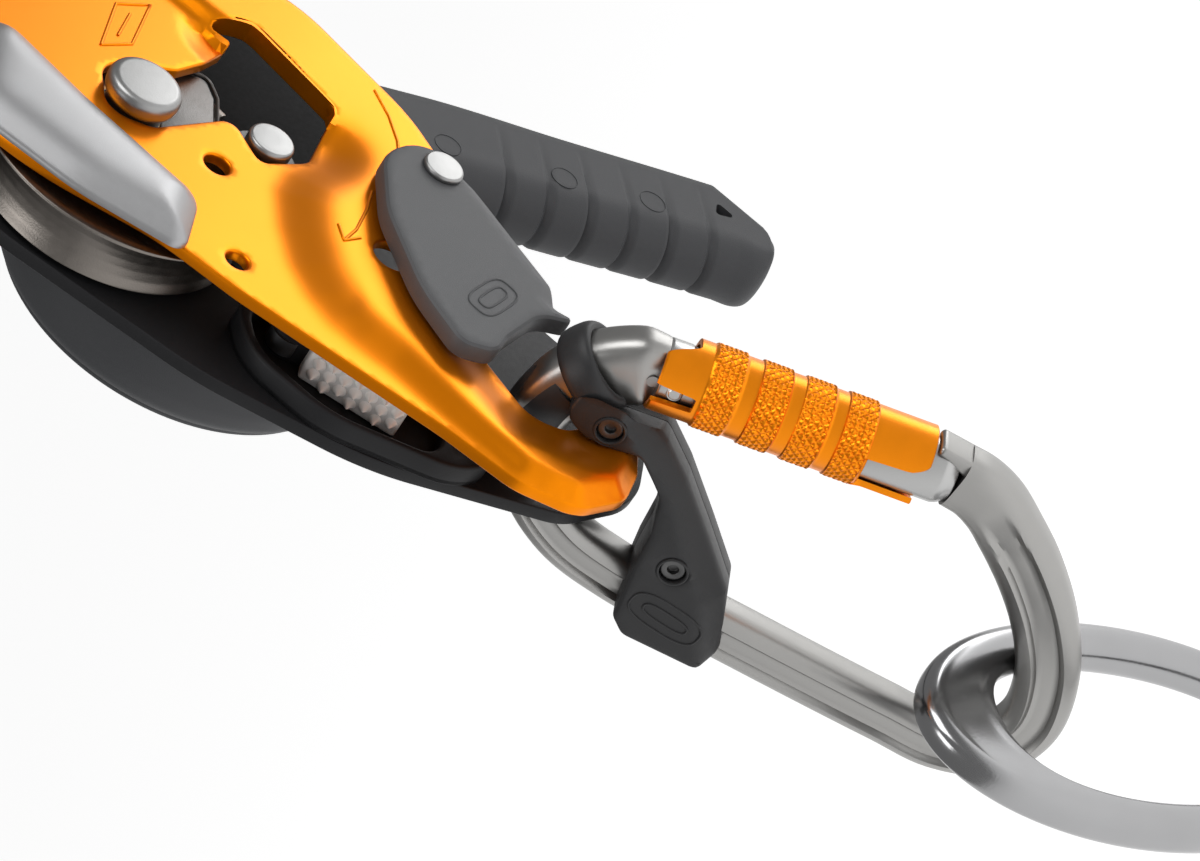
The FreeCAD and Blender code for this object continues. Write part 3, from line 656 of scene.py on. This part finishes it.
# ---- cam
def make_cam():
    """Grooved cam with bright rims, eccentric on its axle and flatter on its inner side."""
    x, z = CAM_AXLE[0] - 8.3, CAM_AXLE[1] - 2.0
    profile = [(7.6, -6.0), (25.0, -6.0), (27.5, -6.0), (29.4, -6.3), (30.8, -6.2), (31.0, -5.7),
               (30.4, -5.2), (29.4, -4.9), (28.4, -4.0), (27.5, -2.0), (27.0, 0.0), (26.9, 2.0),
               (27.2, 4.0), (27.7, 5.2), (28.0, 6.0), (27.6, 6.3), (7.6, 6.3)]
    verts, faces = lathe(rounded_profile(profile, 0.35), (0, 0, 0), "y", 160)
    shaped = []
    for v in verts:
        radius = math.hypot(v[0], v[2])
        shrink = 1 - 0.10 * ease((v[0] / radius + 0.2) / 0.9) if radius > 10 else 1.0
        shaped.append((x + v[0] * shrink, v[1], z + v[2] * shrink))
    room = lathe([(0.0, -9.0), (11.5, -9.0), (11.5, 9.0), (0.0, 9.0)], HUB_CENTRE)
    shaped, faces = carved((shaped, faces), room)
    to_object("cam_turned", shaped, faces, "cam_body", CAM_STEEL, "cam_steel", 26, ["cam"])
    neck = [(20, 97, 3), (36, 91, 4), (46, 82.5, 2), (46.5, 78, 2), (42, 75.4, 2.5), (33, 73.8, 4),
            (20, 80, 4)]
    rim = arc_corners(neck)
    plate = slab("front", rim, -6.8, -6.1, [circle(*CAM_AXLE, 6.3)], 0.3, 0.1)
    edge = bead("front", shifted(rim, 0.7), -6.8, 0.45, 0.35)
    to_object("cam_neck", *joined(plate, edge), "cam_body", NECK_STEEL, "cam_steel", 30)


make_cam()


# ---- handle
def make_hub():
    """Moulded hub, its front cover and the push button."""
    profile = [(8.0, 12.3), (37.4, 12.3), (39.4, 12.9), (40.0, 15.0), (40.0, 25.0), (39.4, 28.6),
               (37.6, 30.9), (8.0, 30.9)]
    verts, faces = lathe(rounded_profile(profile, 1.0), HUB_CENTRE, "y", 160)
    to_object("handle_hub_shell", verts, faces, "handle", GREY_PLASTIC, "grey_plastic", 30, ["handle_hub"])
    cover = [(0.0, 33.0), (10.0, 33.0), (10.6, 32.5), (12.0, 32.5), (12.6, 33.0), (33.5, 33.0),
             (36.9, 32.2), (37.2, 30.95), (0.0, 30.95)]
    verts, faces = lathe(rounded_profile(cover, 0.5), HUB_CENTRE, "y", 128)
    to_object("hub_cover_shell", verts, faces, "handle", GREY_PLASTIC, "grey_plastic", 30, ["hub_cover"])
    profile = [(0.0, 34.1), (5.4, 34.2), (6.6, 34.0), (7.0, 33.2), (7.0, 27.0), (0.0, 27.0)]
    turned("push_button_cap", profile,
           HUB_AXLE[0] + 22, HUB_AXLE[1] + 8, "button", BLACK_PLASTIC, "black_plastic",
           ["push_button"], 0.4, 64)


make_hub()

GRIP_LINE = [(36, 70), (62, 70), (84, 52), (97, 26), (107.5, -6), (116.5, -33), (122.4, -52.0)]
GRIP_FRONT, GRIP_BACK = 13.2, 30.6
END_ROUNDING = 6.5
RIB_PITCH = 9.7
RIBS = 6


def rib_depth(gap):
    """A finger rib: a steep step on one side and a long ramp on the other."""
    if gap < 0:
        return ease(1 + gap / 0.5)
    return max(0.0, 1 - gap / 2.2) ** 1.3


def grip_section(high, low, front, back):
    """Ring of (across, y, rib share): flat front and back, thin at the top, round at the finger side."""
    top, reach = 2.0, min(9.0, (high - low) * 0.42)
    middle, half = (front + back) / 2, (back - front) / 2
    eighths = [(top * math.cos(t), top * math.sin(t)) for t in (math.pi * k / 8 for k in range(5))]
    points = [(high - top + c, front + top - s, 0.0) for c, s in eighths]
    start, stop = high - top, low + reach
    points += [(start + (stop - start) * k / 16, front, 0.0 if k < 3 else min(1.0, 0.10 + 0.025 * (k - 3)))
               for k in range(1, 16)]
    for k in range(31):
        t = math.pi * k / 30
        points.append((low + reach - reach * math.sin(t), middle - half * math.cos(t),
                       0.42 + 0.58 * ease(min(k, 30 - k) / 5)))
    points += [(stop + (start - stop) * k / 12, back, 0.3 if k < 8 else 0.0) for k in range(1, 12)]
    return points + [(high - top + s, back - top + c, 0.0) for c, s in eighths]


def make_grip():
    """Lever with a flat front, a round finger side and stepped ribs."""
    count = 420
    line = smooth_line([(x, 0, z) for x, z in GRIP_LINE], count)
    length = sum((b - a).length for a, b in zip(line, line[1:]))
    rib_places = [length - 16.5 - RIB_PITCH * k for k in range(RIBS)]
    rings = []
    for i, here in enumerate(line):
        along = length * i / (count - 1)
        left = length - along
        way = (line[min(i + 1, count - 1)] - line[max(i - 1, 0)]).normalized()
        out = DEPTH.cross(way).normalized()
        if out.x < 0:
            out = -out
        wide = 13.5 - 1.3 * ease(along / length)
        high = wide - max(0.0, 12.5 - left) * 0.86
        round_end = max(0.0, END_ROUNDING - left)
        low = -wide + END_ROUNDING - math.sqrt(max(0.0, END_ROUNDING ** 2 - round_end ** 2))
        high = max(high - max(0.0, 2.0 - left) * 0.8, low + 1.0)
        front, back = GRIP_FRONT + 0.7 * ease((1.2 - left) / 1.2), GRIP_BACK - 1.4 * ease(along / length)
        depth = max(rib_depth(along - place) for place in rib_places)
        centre = Vector(((high + low) / 2, (front + back) / 2))
        ring = []
        for w, y, share in grip_section(high, low, front, back):
            pull = centre - Vector((w, y))
            pull = pull.normalized() * min(0.95 * depth * share, pull.length * 0.5)
            if abs(y - front) < 1e-6:
                pull = Vector((0, 1)) * 0.8 * depth * share
            ring.append(here + out * (w + pull.x) + Vector((0, y + pull.y, 0)))
        rings.append(ring)
    corners = [(124.0, -38.2, 0.8), (119.6, -38.4, 0.8), (121.6, -43.4, 0.8)]
    body = carved(capped(rings), slab("front", arc_corners(corners, 0.3), 11.0, 33.0))
    marks = [bead("front", circle(x, z, 3.0, 36), GRIP_FRONT - 0.02, 0.10, 0.05)
             for x, z in ((96, 22), (105, -4), (112.5, -24))]
    to_object("handle_grip_shell", *joined(body, *marks), "handle", GREY_PLASTIC, "grey_plastic", 30,
              ["handle_grip"])


make_grip()

# ---- connector
FRAME_LINE = [(-35.3, -75.4), (-35, -80), (-33.2, -85), (-29.6, -90.5), (-23.5, -98.5), (-15, -107),
              (-4, -114.4), (8, -117.6), (17, -114.5), (21.6, -105), (21.8, -92), (21.2, -60),
              (20.2, -32), (17.2, -18.5), (9.5, -7.5), (-1.5, -1.9), (-13, -2.9), (-20.5, -7.4),
              (-24.6, -12.6), (-25.9, -15.8), (-26.2, -17.0)]
HINGE = Vector((0, -26.2, -15.5))
NOSE = Vector((0, -34.6, -74.0))
GATE_WAY = (NOSE - HINGE).normalized()
GATE_TURN = UP.rotation_difference(GATE_WAY).to_matrix()
STUD_ANGLE = 3.15
SHARES = [0.0, 0.04, 0.10, 0.20, 0.30, 0.40, 0.62, 0.72, 0.82, 0.90, 0.95, 0.985, 1.0]
IN_PLANE = [6.2, 6.4, 6.6, 6.4, 6.2, 5.7, 5.7, 5.6, 5.3, 6.2, 7.2, 7.6, 6.6]
ACROSS = [5.0, 5.3, 5.3, 5.2, 5.2, 5.2, 5.2, 5.2, 5.2, 5.2, 5.2, 5.1, 4.2]


def beam_section(share):
    """Forged section: two rounded flanges with a web between them; the web is flush at both ends."""
    half, side_half = float(np.interp(share, SHARES, IN_PLANE)), float(np.interp(share, SHARES, ACROSS))
    web = ease((share - 0.03) / 0.07) * ease((0.90 - share) / 0.06)
    flat = 0.55 + 0.25 * web
    ring = []
    for t in turns_of(72):
        out, side = half * blunt(math.cos(t), flat), side_half * blunt(math.sin(t), 0.7)
        dip = ease((half * 0.5 - abs(out)) / (half * 0.22))
        side -= math.copysign(1.7 * dip * web, side)
        ring.append((out, side))
    return ring


def make_frame():
    """Forged connector body with its nose lip."""
    line = smooth_line([(0, y, z) for y, z in FRAME_LINE], 300)
    bar = sweep(line, RIGHT, beam_section)
    lip = [(-41.3, -69.2, 0.8), (-39.6, -68.6, 0.8), (-38.6, -72.5, 2), (-37.4, -76.0, 1), (-38.0, -84, 2),
           (-41.0, -80, 6)]
    fin = slab("side", arc_corners(lip, 0.5), -3.6, 3.6, (), 0.8, 0.8)
    to_object("connector_frame_forging", *joined(bar, fin), "connector", GREY_METAL, "grey_aluminium", 34,
              ["connector_frame"])


make_frame()


def make_link_gate():
    """Turned gate arm with the small stud near its hinge."""
    profile = [(0.0, 1.0), (6.1, 1.0), (6.35, 1.4), (6.35, 5.7), (4.6, 6.0), (4.6, 38.0), (6.3, 38.4),
               (6.3, 57.4), (6.0, 58.4), (4.9, 60.2), (0.0, 60.3)]
    arm = lathe(rounded_profile(profile, 0.4), HINGE, turn=GATE_TURN)
    to_object("gate_arm_turned", *arm, "link_gate", GATE_METAL, "grey_aluminium", 32, ["gate_arm"])
    outward = GATE_TURN @ Vector((math.cos(STUD_ANGLE), math.sin(STUD_ANGLE), 0))
    profile = [(0.0, 0.5), (1.0, 0.5), (1.2, 0.35), (1.4, 0.4), (1.6, 0.2), (1.6, -1.0), (0.0, -1.0)]
    stud = lathe(profile, HINGE + outward * 6.1 + GATE_WAY * 4.4, count=40,
                 turn=UP.rotation_difference(outward).to_matrix())
    to_object("gate_stud", *stud, "link_gate", GATE_METAL, "grey_aluminium", 32)


make_link_gate()

SLEEVE_RADIUS, SLEEVE_BORE = 7.95, 6.75
BAND_HEIGHT = 0.42
BANDS = [(9.6, 15.6), (18.9, 24.7), (27.6, 33.4), (36.2, 41.9)]


def knurl(along, angle):
    """Diamond knurling between 0 and 1."""
    pitch, starts = 1.9, 28
    a = (along / pitch + angle * starts / (2 * math.pi)) % 1.0
    b = (along / pitch - angle * starts / (2 * math.pi)) % 1.0
    return min(1.0, 3.2 * min(min(a, 1 - a), min(b, 1 - b)))


def window_of(angle, low, high, soft):
    """1 between two angles, 0 outside, with soft sides."""
    middle, half = (low + high) / 2, (high - low) / 2
    gap = abs((angle - middle + math.pi) % (2 * math.pi) - math.pi)
    return ease((half + soft / 2 - gap) / soft)


def sleeve_start(angle):
    """Upper rim of the sleeve: two tongues with a narrow slot between them, cut back on the far side."""
    back = window_of(angle, 4.6, 8.12, 0.5)
    slot = window_of(angle, 2.93, 3.40, 0.07)
    return 0.4 + 6.0 * back + 8.0 * slot


def sleeve_end(angle):
    """Lower rim of the sleeve: a wide cut beside a narrow tongue."""
    cut = window_of(angle, 2.84, 4.02, 0.10)
    corner = max(0.0, 1 - abs(angle - 2.84) / 0.34) ** 2 * 3.4
    return 54.2 - max(12.8 * cut, corner)


def make_sleeve():
    """Locking sleeve with cut rims and knurled bands, built from rows of (kind, share or place)."""
    rows = [("start", t) for t in (0.0, 0.04, 0.1, 0.3, 0.6)]
    place = BANDS[0][0] - 0.9
    while place < BANDS[-1][1] + 0.6:
        rows.append(("middle", place))
        place += 0.27
    first, last = rows[5][1], rows[-1][1]
    rows += [("end", t) for t in (0.15, 0.35, 0.6, 0.8, 0.93, 0.98, 1.0)]

    def point(kind, t, angle, radius=None):
        along = t
        if kind == "start":
            along = sleeve_start(angle) * (1 - t) + first * t
        elif kind == "end":
            along = last * (1 - t) + sleeve_end(angle) * t
        if radius is None:
            radius = SLEEVE_RADIUS
            if (kind == "start" and t == 0.0) or (kind == "end" and t == 1.0):
                radius -= 0.3
            for low, high in BANDS:
                edge = min(along - low, high - along)
                if edge > -0.25:
                    cut = (1 - knurl(along, angle)) * ease(edge / 0.35)
                    radius += ease((edge + 0.25) / 0.4) * (BAND_HEIGHT - BAND_HEIGHT * cut)
        return HINGE + GATE_TURN @ Vector((radius * math.cos(angle), radius * math.sin(angle), along))

    turns = turns_of(300)
    rings = [[point(kind, t, a) for a in turns] for kind, t in rows]
    rings += [[point(kind, t, a, SLEEVE_BORE) for a in turns]
              for kind, t in (rows[-1], rows[len(rows) // 2], rows[0])]
    to_object("locking_sleeve_knurled", *rings_to_faces(rings, True), "sleeve", ORANGE_METAL,
              "orange_anodised", 30, ["locking_sleeve"])


make_sleeve()

# ---- positioning bar
BAR_EDGE = [(-21.5, -4.5, 4), (-13, -4.2, 5), (-10.7, -10, 3), (-11, -16, 3), (-12.2, -21, 3),
            (-5, -29, 6), (3, -31.4, 5), (11, -32.2, 2), (23.6, -34.4, 2.5), (26.6, -38, 3),
            (26.4, -54, 2.5), (22.5, -57, 2.5), (9.6, -51.6, 3), (0.4, -42.5, 12), (-9.6, -32.2, 10),
            (-15.6, -24.8, 3), (-18.2, -20.5, 3), (-20.6, -14, 6)]
BAR_RIGHT = [(24, -58.5), (9.6, -51.6), (0.4, -42.5), (-9.6, -32.2), (-15.6, -24.8), (-20, -18)]
BAR_HALF = 9.3
SLEEVE_ROOM = 10.9
BAR_SCREWS = [(-14.8, -13.1), (7.8, -39.0)]


def rear_relief(points):
    """The rear shell also falls away over the spine."""
    spine = np.array([(3, -31.4), (11, -32.2), (23.6, -34.4), (26.6, -38)], float)
    away = edge_distance(points, spine, closed=False)
    return np.minimum(bar_relief(points), -4.2 * np.clip(1 - away / 9.0, 0, 1))


def bar_relief(points):
    """The moulding falls away toward the gate side and thins toward the collar."""
    away = edge_distance(points, np.array(BAR_RIGHT, float), closed=False)
    fall = 4.6 * np.clip(1 - away / 4.4, 0, 1)
    waist = 1.2 * np.exp(-((points[:, 0] + 7) / 9.0) ** 2 - ((points[:, 1] + 30) / 9.0) ** 2)
    return -np.maximum(fall, waist)


def collar(side):
    """Half of the rounded loop round the connector's bow."""
    middle = Vector((0, -19.6, -6.2))
    way = Vector((0, 11, 6.4)).normalized()
    up = way.cross(RIGHT).normalized()
    rings = []
    for k in range(41):
        turn = math.pi * k / 40
        out = RIGHT * math.sin(turn) * side + up * math.cos(turn)
        rings.append([middle + out * (7.5 + 1.5 * math.cos(a)) + way * 3.6 * blunt(math.sin(a), 0.7)
                      for a in turns_of(24)])
    return capped(rings)


def clear_of_gate(v):
    """Moves a point of the bar out of the space in which the sleeve swings."""
    local = Vector(v) - HINGE
    away = local - GATE_WAY * local.dot(GATE_WAY)
    return tuple(Vector(v) + away.normalized() * max(0.0, SLEEVE_ROOM - away.length))


def make_bar(name, side, node):
    """One shell: collar, waisted arm with a slanting right face, and a sheath on the bow."""
    holes = [circle(y, z, 2.75, 36) for y, z in BAR_SCREWS]
    verts, faces = slab("side", arc_corners(BAR_EDGE, 0.6), side * BAR_HALF, side * 0.1, holes, 0.9, 0.1,
                        bar_relief if side < 0 else rear_relief, level, 1.3)
    bow = [p for p in smooth_line([(0, y, z) for y, z in FRAME_LINE], 300) if -15 < p.y < 5 and p.z > -10]
    ring = [(6.4 * math.cos(math.pi * k / 20), side * 6.0 * math.sin(math.pi * k / 20)) for k in range(21)]
    sheath = sweep(bow, RIGHT, lambda share: ring)
    parts = [([clear_of_gate(v) for v in verts], faces), collar(side), sheath]
    middle, long_way = Vector((18.4, -43.2)), Vector((0.13, -0.99)).normalized()
    for halves in ((7.8, 3.5), (5.0, 1.4)):
        oval = rounded_loop(middle, long_way, *halves, 0.7)
        parts.append(bead("side", oval, side * (BAR_HALF - 0.02), 0.28, 0.26))
    for y, z in BAR_SCREWS:
        parts.append(bead("side", circle(y, z, 2.9), side * (BAR_HALF - 0.1), 0.3, 0.3))
    to_object(name, *joined(*parts), "connector", BLACK_PLASTIC, "black_plastic", 30, [node])


make_bar("bar_front_moulding", -1, "bar_front_shell")
make_bar("bar_rear_moulding", 1, "bar_rear_shell")


def make_bar_screws():
    """Two screws through both shells, with a head on each side."""
    parts = []
    for y, z in BAR_SCREWS:
        for side in (-1, 1):
            parts.append(lathe(rounded_profile([(0.0, side * 7.3), (1.1, side * 7.3), (1.1, side * 8.5),
                                                (2.3, side * 8.6), (2.65, side * 8.2), (2.65, side * 6.0),
                                                (0.0, side * 6.0)], 0.2), (0, y, z), "x", 48))
        parts.append(lathe([(0.0, -6.1), (1.38, -6.1), (1.38, 6.1), (0.0, 6.1)], (0, y, z), "x", 32))
    to_object("bar_screw_heads", *joined(*parts), "connector", DARK_STEEL, "dark_steel", 30, ["bar_screws"])


make_bar_screws()


# ---- ring
def make_ring():
    """Forged oval ring; its upper end is wide and flat."""
    tilt = math.radians(30.5)
    long_way = Vector((math.sin(tilt), 0, -math.cos(tilt)))
    short_way = Vector((math.cos(tilt), 0, math.sin(tilt)))
    middle = Vector((-1.5, 0, -135.0))
    rings = []
    for turn in turns_of(240):
        c, s = math.cos(turn), math.sin(turn)
        outer = middle + long_way * 50.9 * c + short_way * 27.5 * s
        end = max(0.0, -c) ** 3
        inner = middle + long_way * (41.9 * c + 9.2 * end) + short_way * (18.5 * s) * (1 - 0.12 * end)
        centre, half = (outer + inner) / 2, (outer - inner).length / 2
        out = (outer - inner).normalized()
        thick = 4.4 - 0.5 * end
        ring = []
        for a in turns_of(48):
            across = half * blunt(math.cos(a), 0.80 - 0.15 * end)
            height = thick * blunt(math.sin(a), 0.85 - 0.25 * end)
            if end > 0.02:
                height -= math.copysign(0.55 * end * ease((half * 0.62 - abs(across)) / 1.2), height)
            ring.append(centre + out * across + Vector((0, height, 0)))
        rings.append(ring)
    to_object("attachment_ring_forging", *rings_to_faces(rings, True), "ring", POLISHED,
              "polished_aluminium", 36, ["attachment_ring"])


make_ring()

# ---- catch and its housing
HOUSING_EDGE = [(4, 59.8, 12), (-13, 53.8, 16), (-20.8, 36, 24), (-17.8, 8, 20), (-9, 0.2, 6),
                (4, 12.2, 8), (7.8, 30, 30)]
POCKET_EDGE = [(2, 56.5, 8), (-11.5, 51.5, 12), (-18.9, 35, 20), (-16.6, 13, 5), (-5, 13, 3),
               (-2.5, 26, 5), (2, 38, 10)]


def make_housing():
    """Moulded housing: a wall round the pocket and its floor."""
    wall = slab("front", arc_corners(HOUSING_EDGE), 2.5, 7.45, [arc_corners(POCKET_EDGE)], 0.8, 0.2)
    floor = slab("front", arc_corners(HOUSING_EDGE), 6.2, 7.45, (), 0.2, 0.2)
    to_object("catch_housing_moulding", *joined(wall, floor), "fixed_frame", BLACK, "black_paint", 32,
              ["catch_housing"])


make_housing()


def make_catch():
    """Toothed plate, its near-white colour partly bright metal and partly painted light on its lit face: a
    smooth boss above and staggered pointed teeth on the rope side.
    """
    edge = [(-7.5, 50, 4), (0.4, 51.2, 4.4), (-0.4, 41.5, 3), (-6.5, 41.5, 2)]
    boss = slab("front", arc_corners(edge), -5.9, 5.9, [circle(*CATCH_AXLE, 1.8, 24)], 0.6, 0.6)
    to_object("catch_boss", *boss, "catch_body", BLACK, "dark_steel", 32)
    edge = [(-9.6, 42.4, 0.8), (-0.8, 42.6, 1), (-9, 22.1, 2), (-13.4, 21.2, 0.8)]
    parts = [slab("front", arc_corners(edge), -6.0, 6.0, (), 0.5, 0.5)]
    top, foot = Vector((-10.1, 0, 41.6)), Vector((-13.3, 0, 21.6))
    way = (foot - top).normalized()
    outward = Vector((way.z, 0, -way.x))
    if outward.x > 0:
        outward = -outward
    turn = UP.rotation_difference(outward).to_matrix()
    tooth = [(1.35, 0.0), (1.0, 0.55), (0.6, 1.15), (0.12, 2.0), (0.0, 2.05)]
    for row in range(7):
        for column in range(4):
            y = -4.6 + 2.65 * column + (1.3 if row % 2 else 0.0)
            spot = top + way * (1.5 + 2.85 * row) + Vector((0, y, 0)) - outward * 0.2
            parts.append(lathe(tooth, spot, count=16, turn=turn))
    to_object("catch_toothed_plate", *joined(*parts), "catch_body", NICKEL_WITH_PAINTED_LIGHT, "satin_steel", 32,
              ["catch_plate"])


make_catch()


def make_window_flange():
    """Folded wall along the right side and the top of the window."""
    points = [(44, 53.6), (48, 52.9), (50.5, 53.6), (53, 57.4), (61.9, 71.4), (62.8, 73.6), (62.3, 75.6),
              (59.8, 81.0)]
    line = even(divided(points, 8), 60)
    rises = plate_relief(np.array([tuple(p) for p in line]))
    rings = []
    for i, here in enumerate(line):
        way = (line[min(i + 1, len(line) - 1)] - line[max(i - 1, 0)]).normalized()
        out = Vector((way.y, -way.x))
        top = PLATE_FRONT - rises[i]
        rings.append([placed("front", here + out * shift, y) for shift, y in (
            (0.0, top), (0.0, -8.2), (0.25, -7.9), (0.9, -7.9), (1.1, -8.2), (1.1, top))])
    to_object("window_flange", *capped(rings), "moving_plate", ORANGE, "orange_paint", 34)


make_window_flange()

# ---- camera, light, floor
def set_camera():
    """Long lens from the lower left front, rolled so that the load line runs to the upper left."""
    azimuth, elevation, roll = math.radians(-55.08), math.radians(11.97), math.radians(-63.25)
    ahead = Vector((-math.sin(azimuth) * math.cos(elevation), math.cos(azimuth) * math.cos(elevation),
                    -math.sin(elevation)))
    flat_right = ahead.cross(UP).normalized()
    flat_up = flat_right.cross(ahead)
    right = flat_right * math.cos(roll) + flat_up * math.sin(roll)
    up = right.cross(ahead)
    camera = bpy.data.objects.new("camera", bpy.data.cameras.new("camera"))
    camera.data.lens = 159.0
    camera.data.sensor_width = 36.0
    camera.data.clip_end = 20.0
    place = Matrix((right, up, -ahead)).transposed().to_4x4()
    place.translation = Vector((-0.80106, -0.56674, 0.19330))
    camera.matrix_world = place
    bpy.context.scene.collection.objects.link(camera)
    bpy.context.scene.camera = camera
    return place.to_3x3()


CAMERA_TURN = set_camera()


def soft_light(name, way, distance, size, power):
    """A square area light aimed at the middle of the object; way is in camera axes (right, up, back)."""
    middle = Vector((0.02, 0.0, 0.0))
    lamp = bpy.data.objects.new(name, bpy.data.lights.new(name, "AREA"))
    lamp.data.shape = "SQUARE"
    lamp.data.size = size
    lamp.data.energy = power
    toward = (CAMERA_TURN @ Vector(way)).normalized()
    lamp.location = middle + toward * distance
    lamp.rotation_euler = toward.to_track_quat("Z", "Y").to_euler()
    bpy.context.scene.collection.objects.link(lamp)


soft_light("key", (-0.25, 1.0, 0.75), 0.9, 0.55, 3.8)
soft_light("side", (-1.0, -0.1, 0.8), 1.0, 0.5, 2.6)
soft_light("rim", (0.7, 0.9, -0.5), 1.0, 0.5, 3.0)


def make_surroundings():
    """Dim grey sky and a pale floor well below the object."""
    world = bpy.data.worlds.new("world")
    world.use_nodes = True
    world.node_tree.nodes["Background"].inputs[0].default_value = (1, 1, 1, 1)
    world.node_tree.nodes["Background"].inputs[1].default_value = 0.30
    bpy.context.scene.world = world
    bpy.context.scene.view_settings.view_transform = "Standard"
    mesh = bpy.data.meshes.new("floor")
    reach, height = 12, -0.26
    corners = [(-reach, -reach), (reach, -reach), (reach, reach), (-reach, reach)]
    mesh.from_pydata([(x, y, height) for x, y in corners], [], [(0, 1, 2, 3)])
    floor = bpy.data.objects.new("floor", mesh)
    pale = bpy.data.materials.new("floor")
    pale.use_nodes = True
    shader = pale.node_tree.nodes["Principled BSDF"]
    shader.inputs["Base Color"].default_value = (0.9, 0.9, 0.9, 1)
    shader.inputs["Roughness"].default_value = 0.9
    shader.inputs["Emission Color"].default_value = (1, 1, 1, 1)
    shader.inputs["Emission Strength"].default_value = 0.68
    mesh.materials.append(pale)
    bpy.context.scene.collection.objects.link(floor)


make_surroundings()
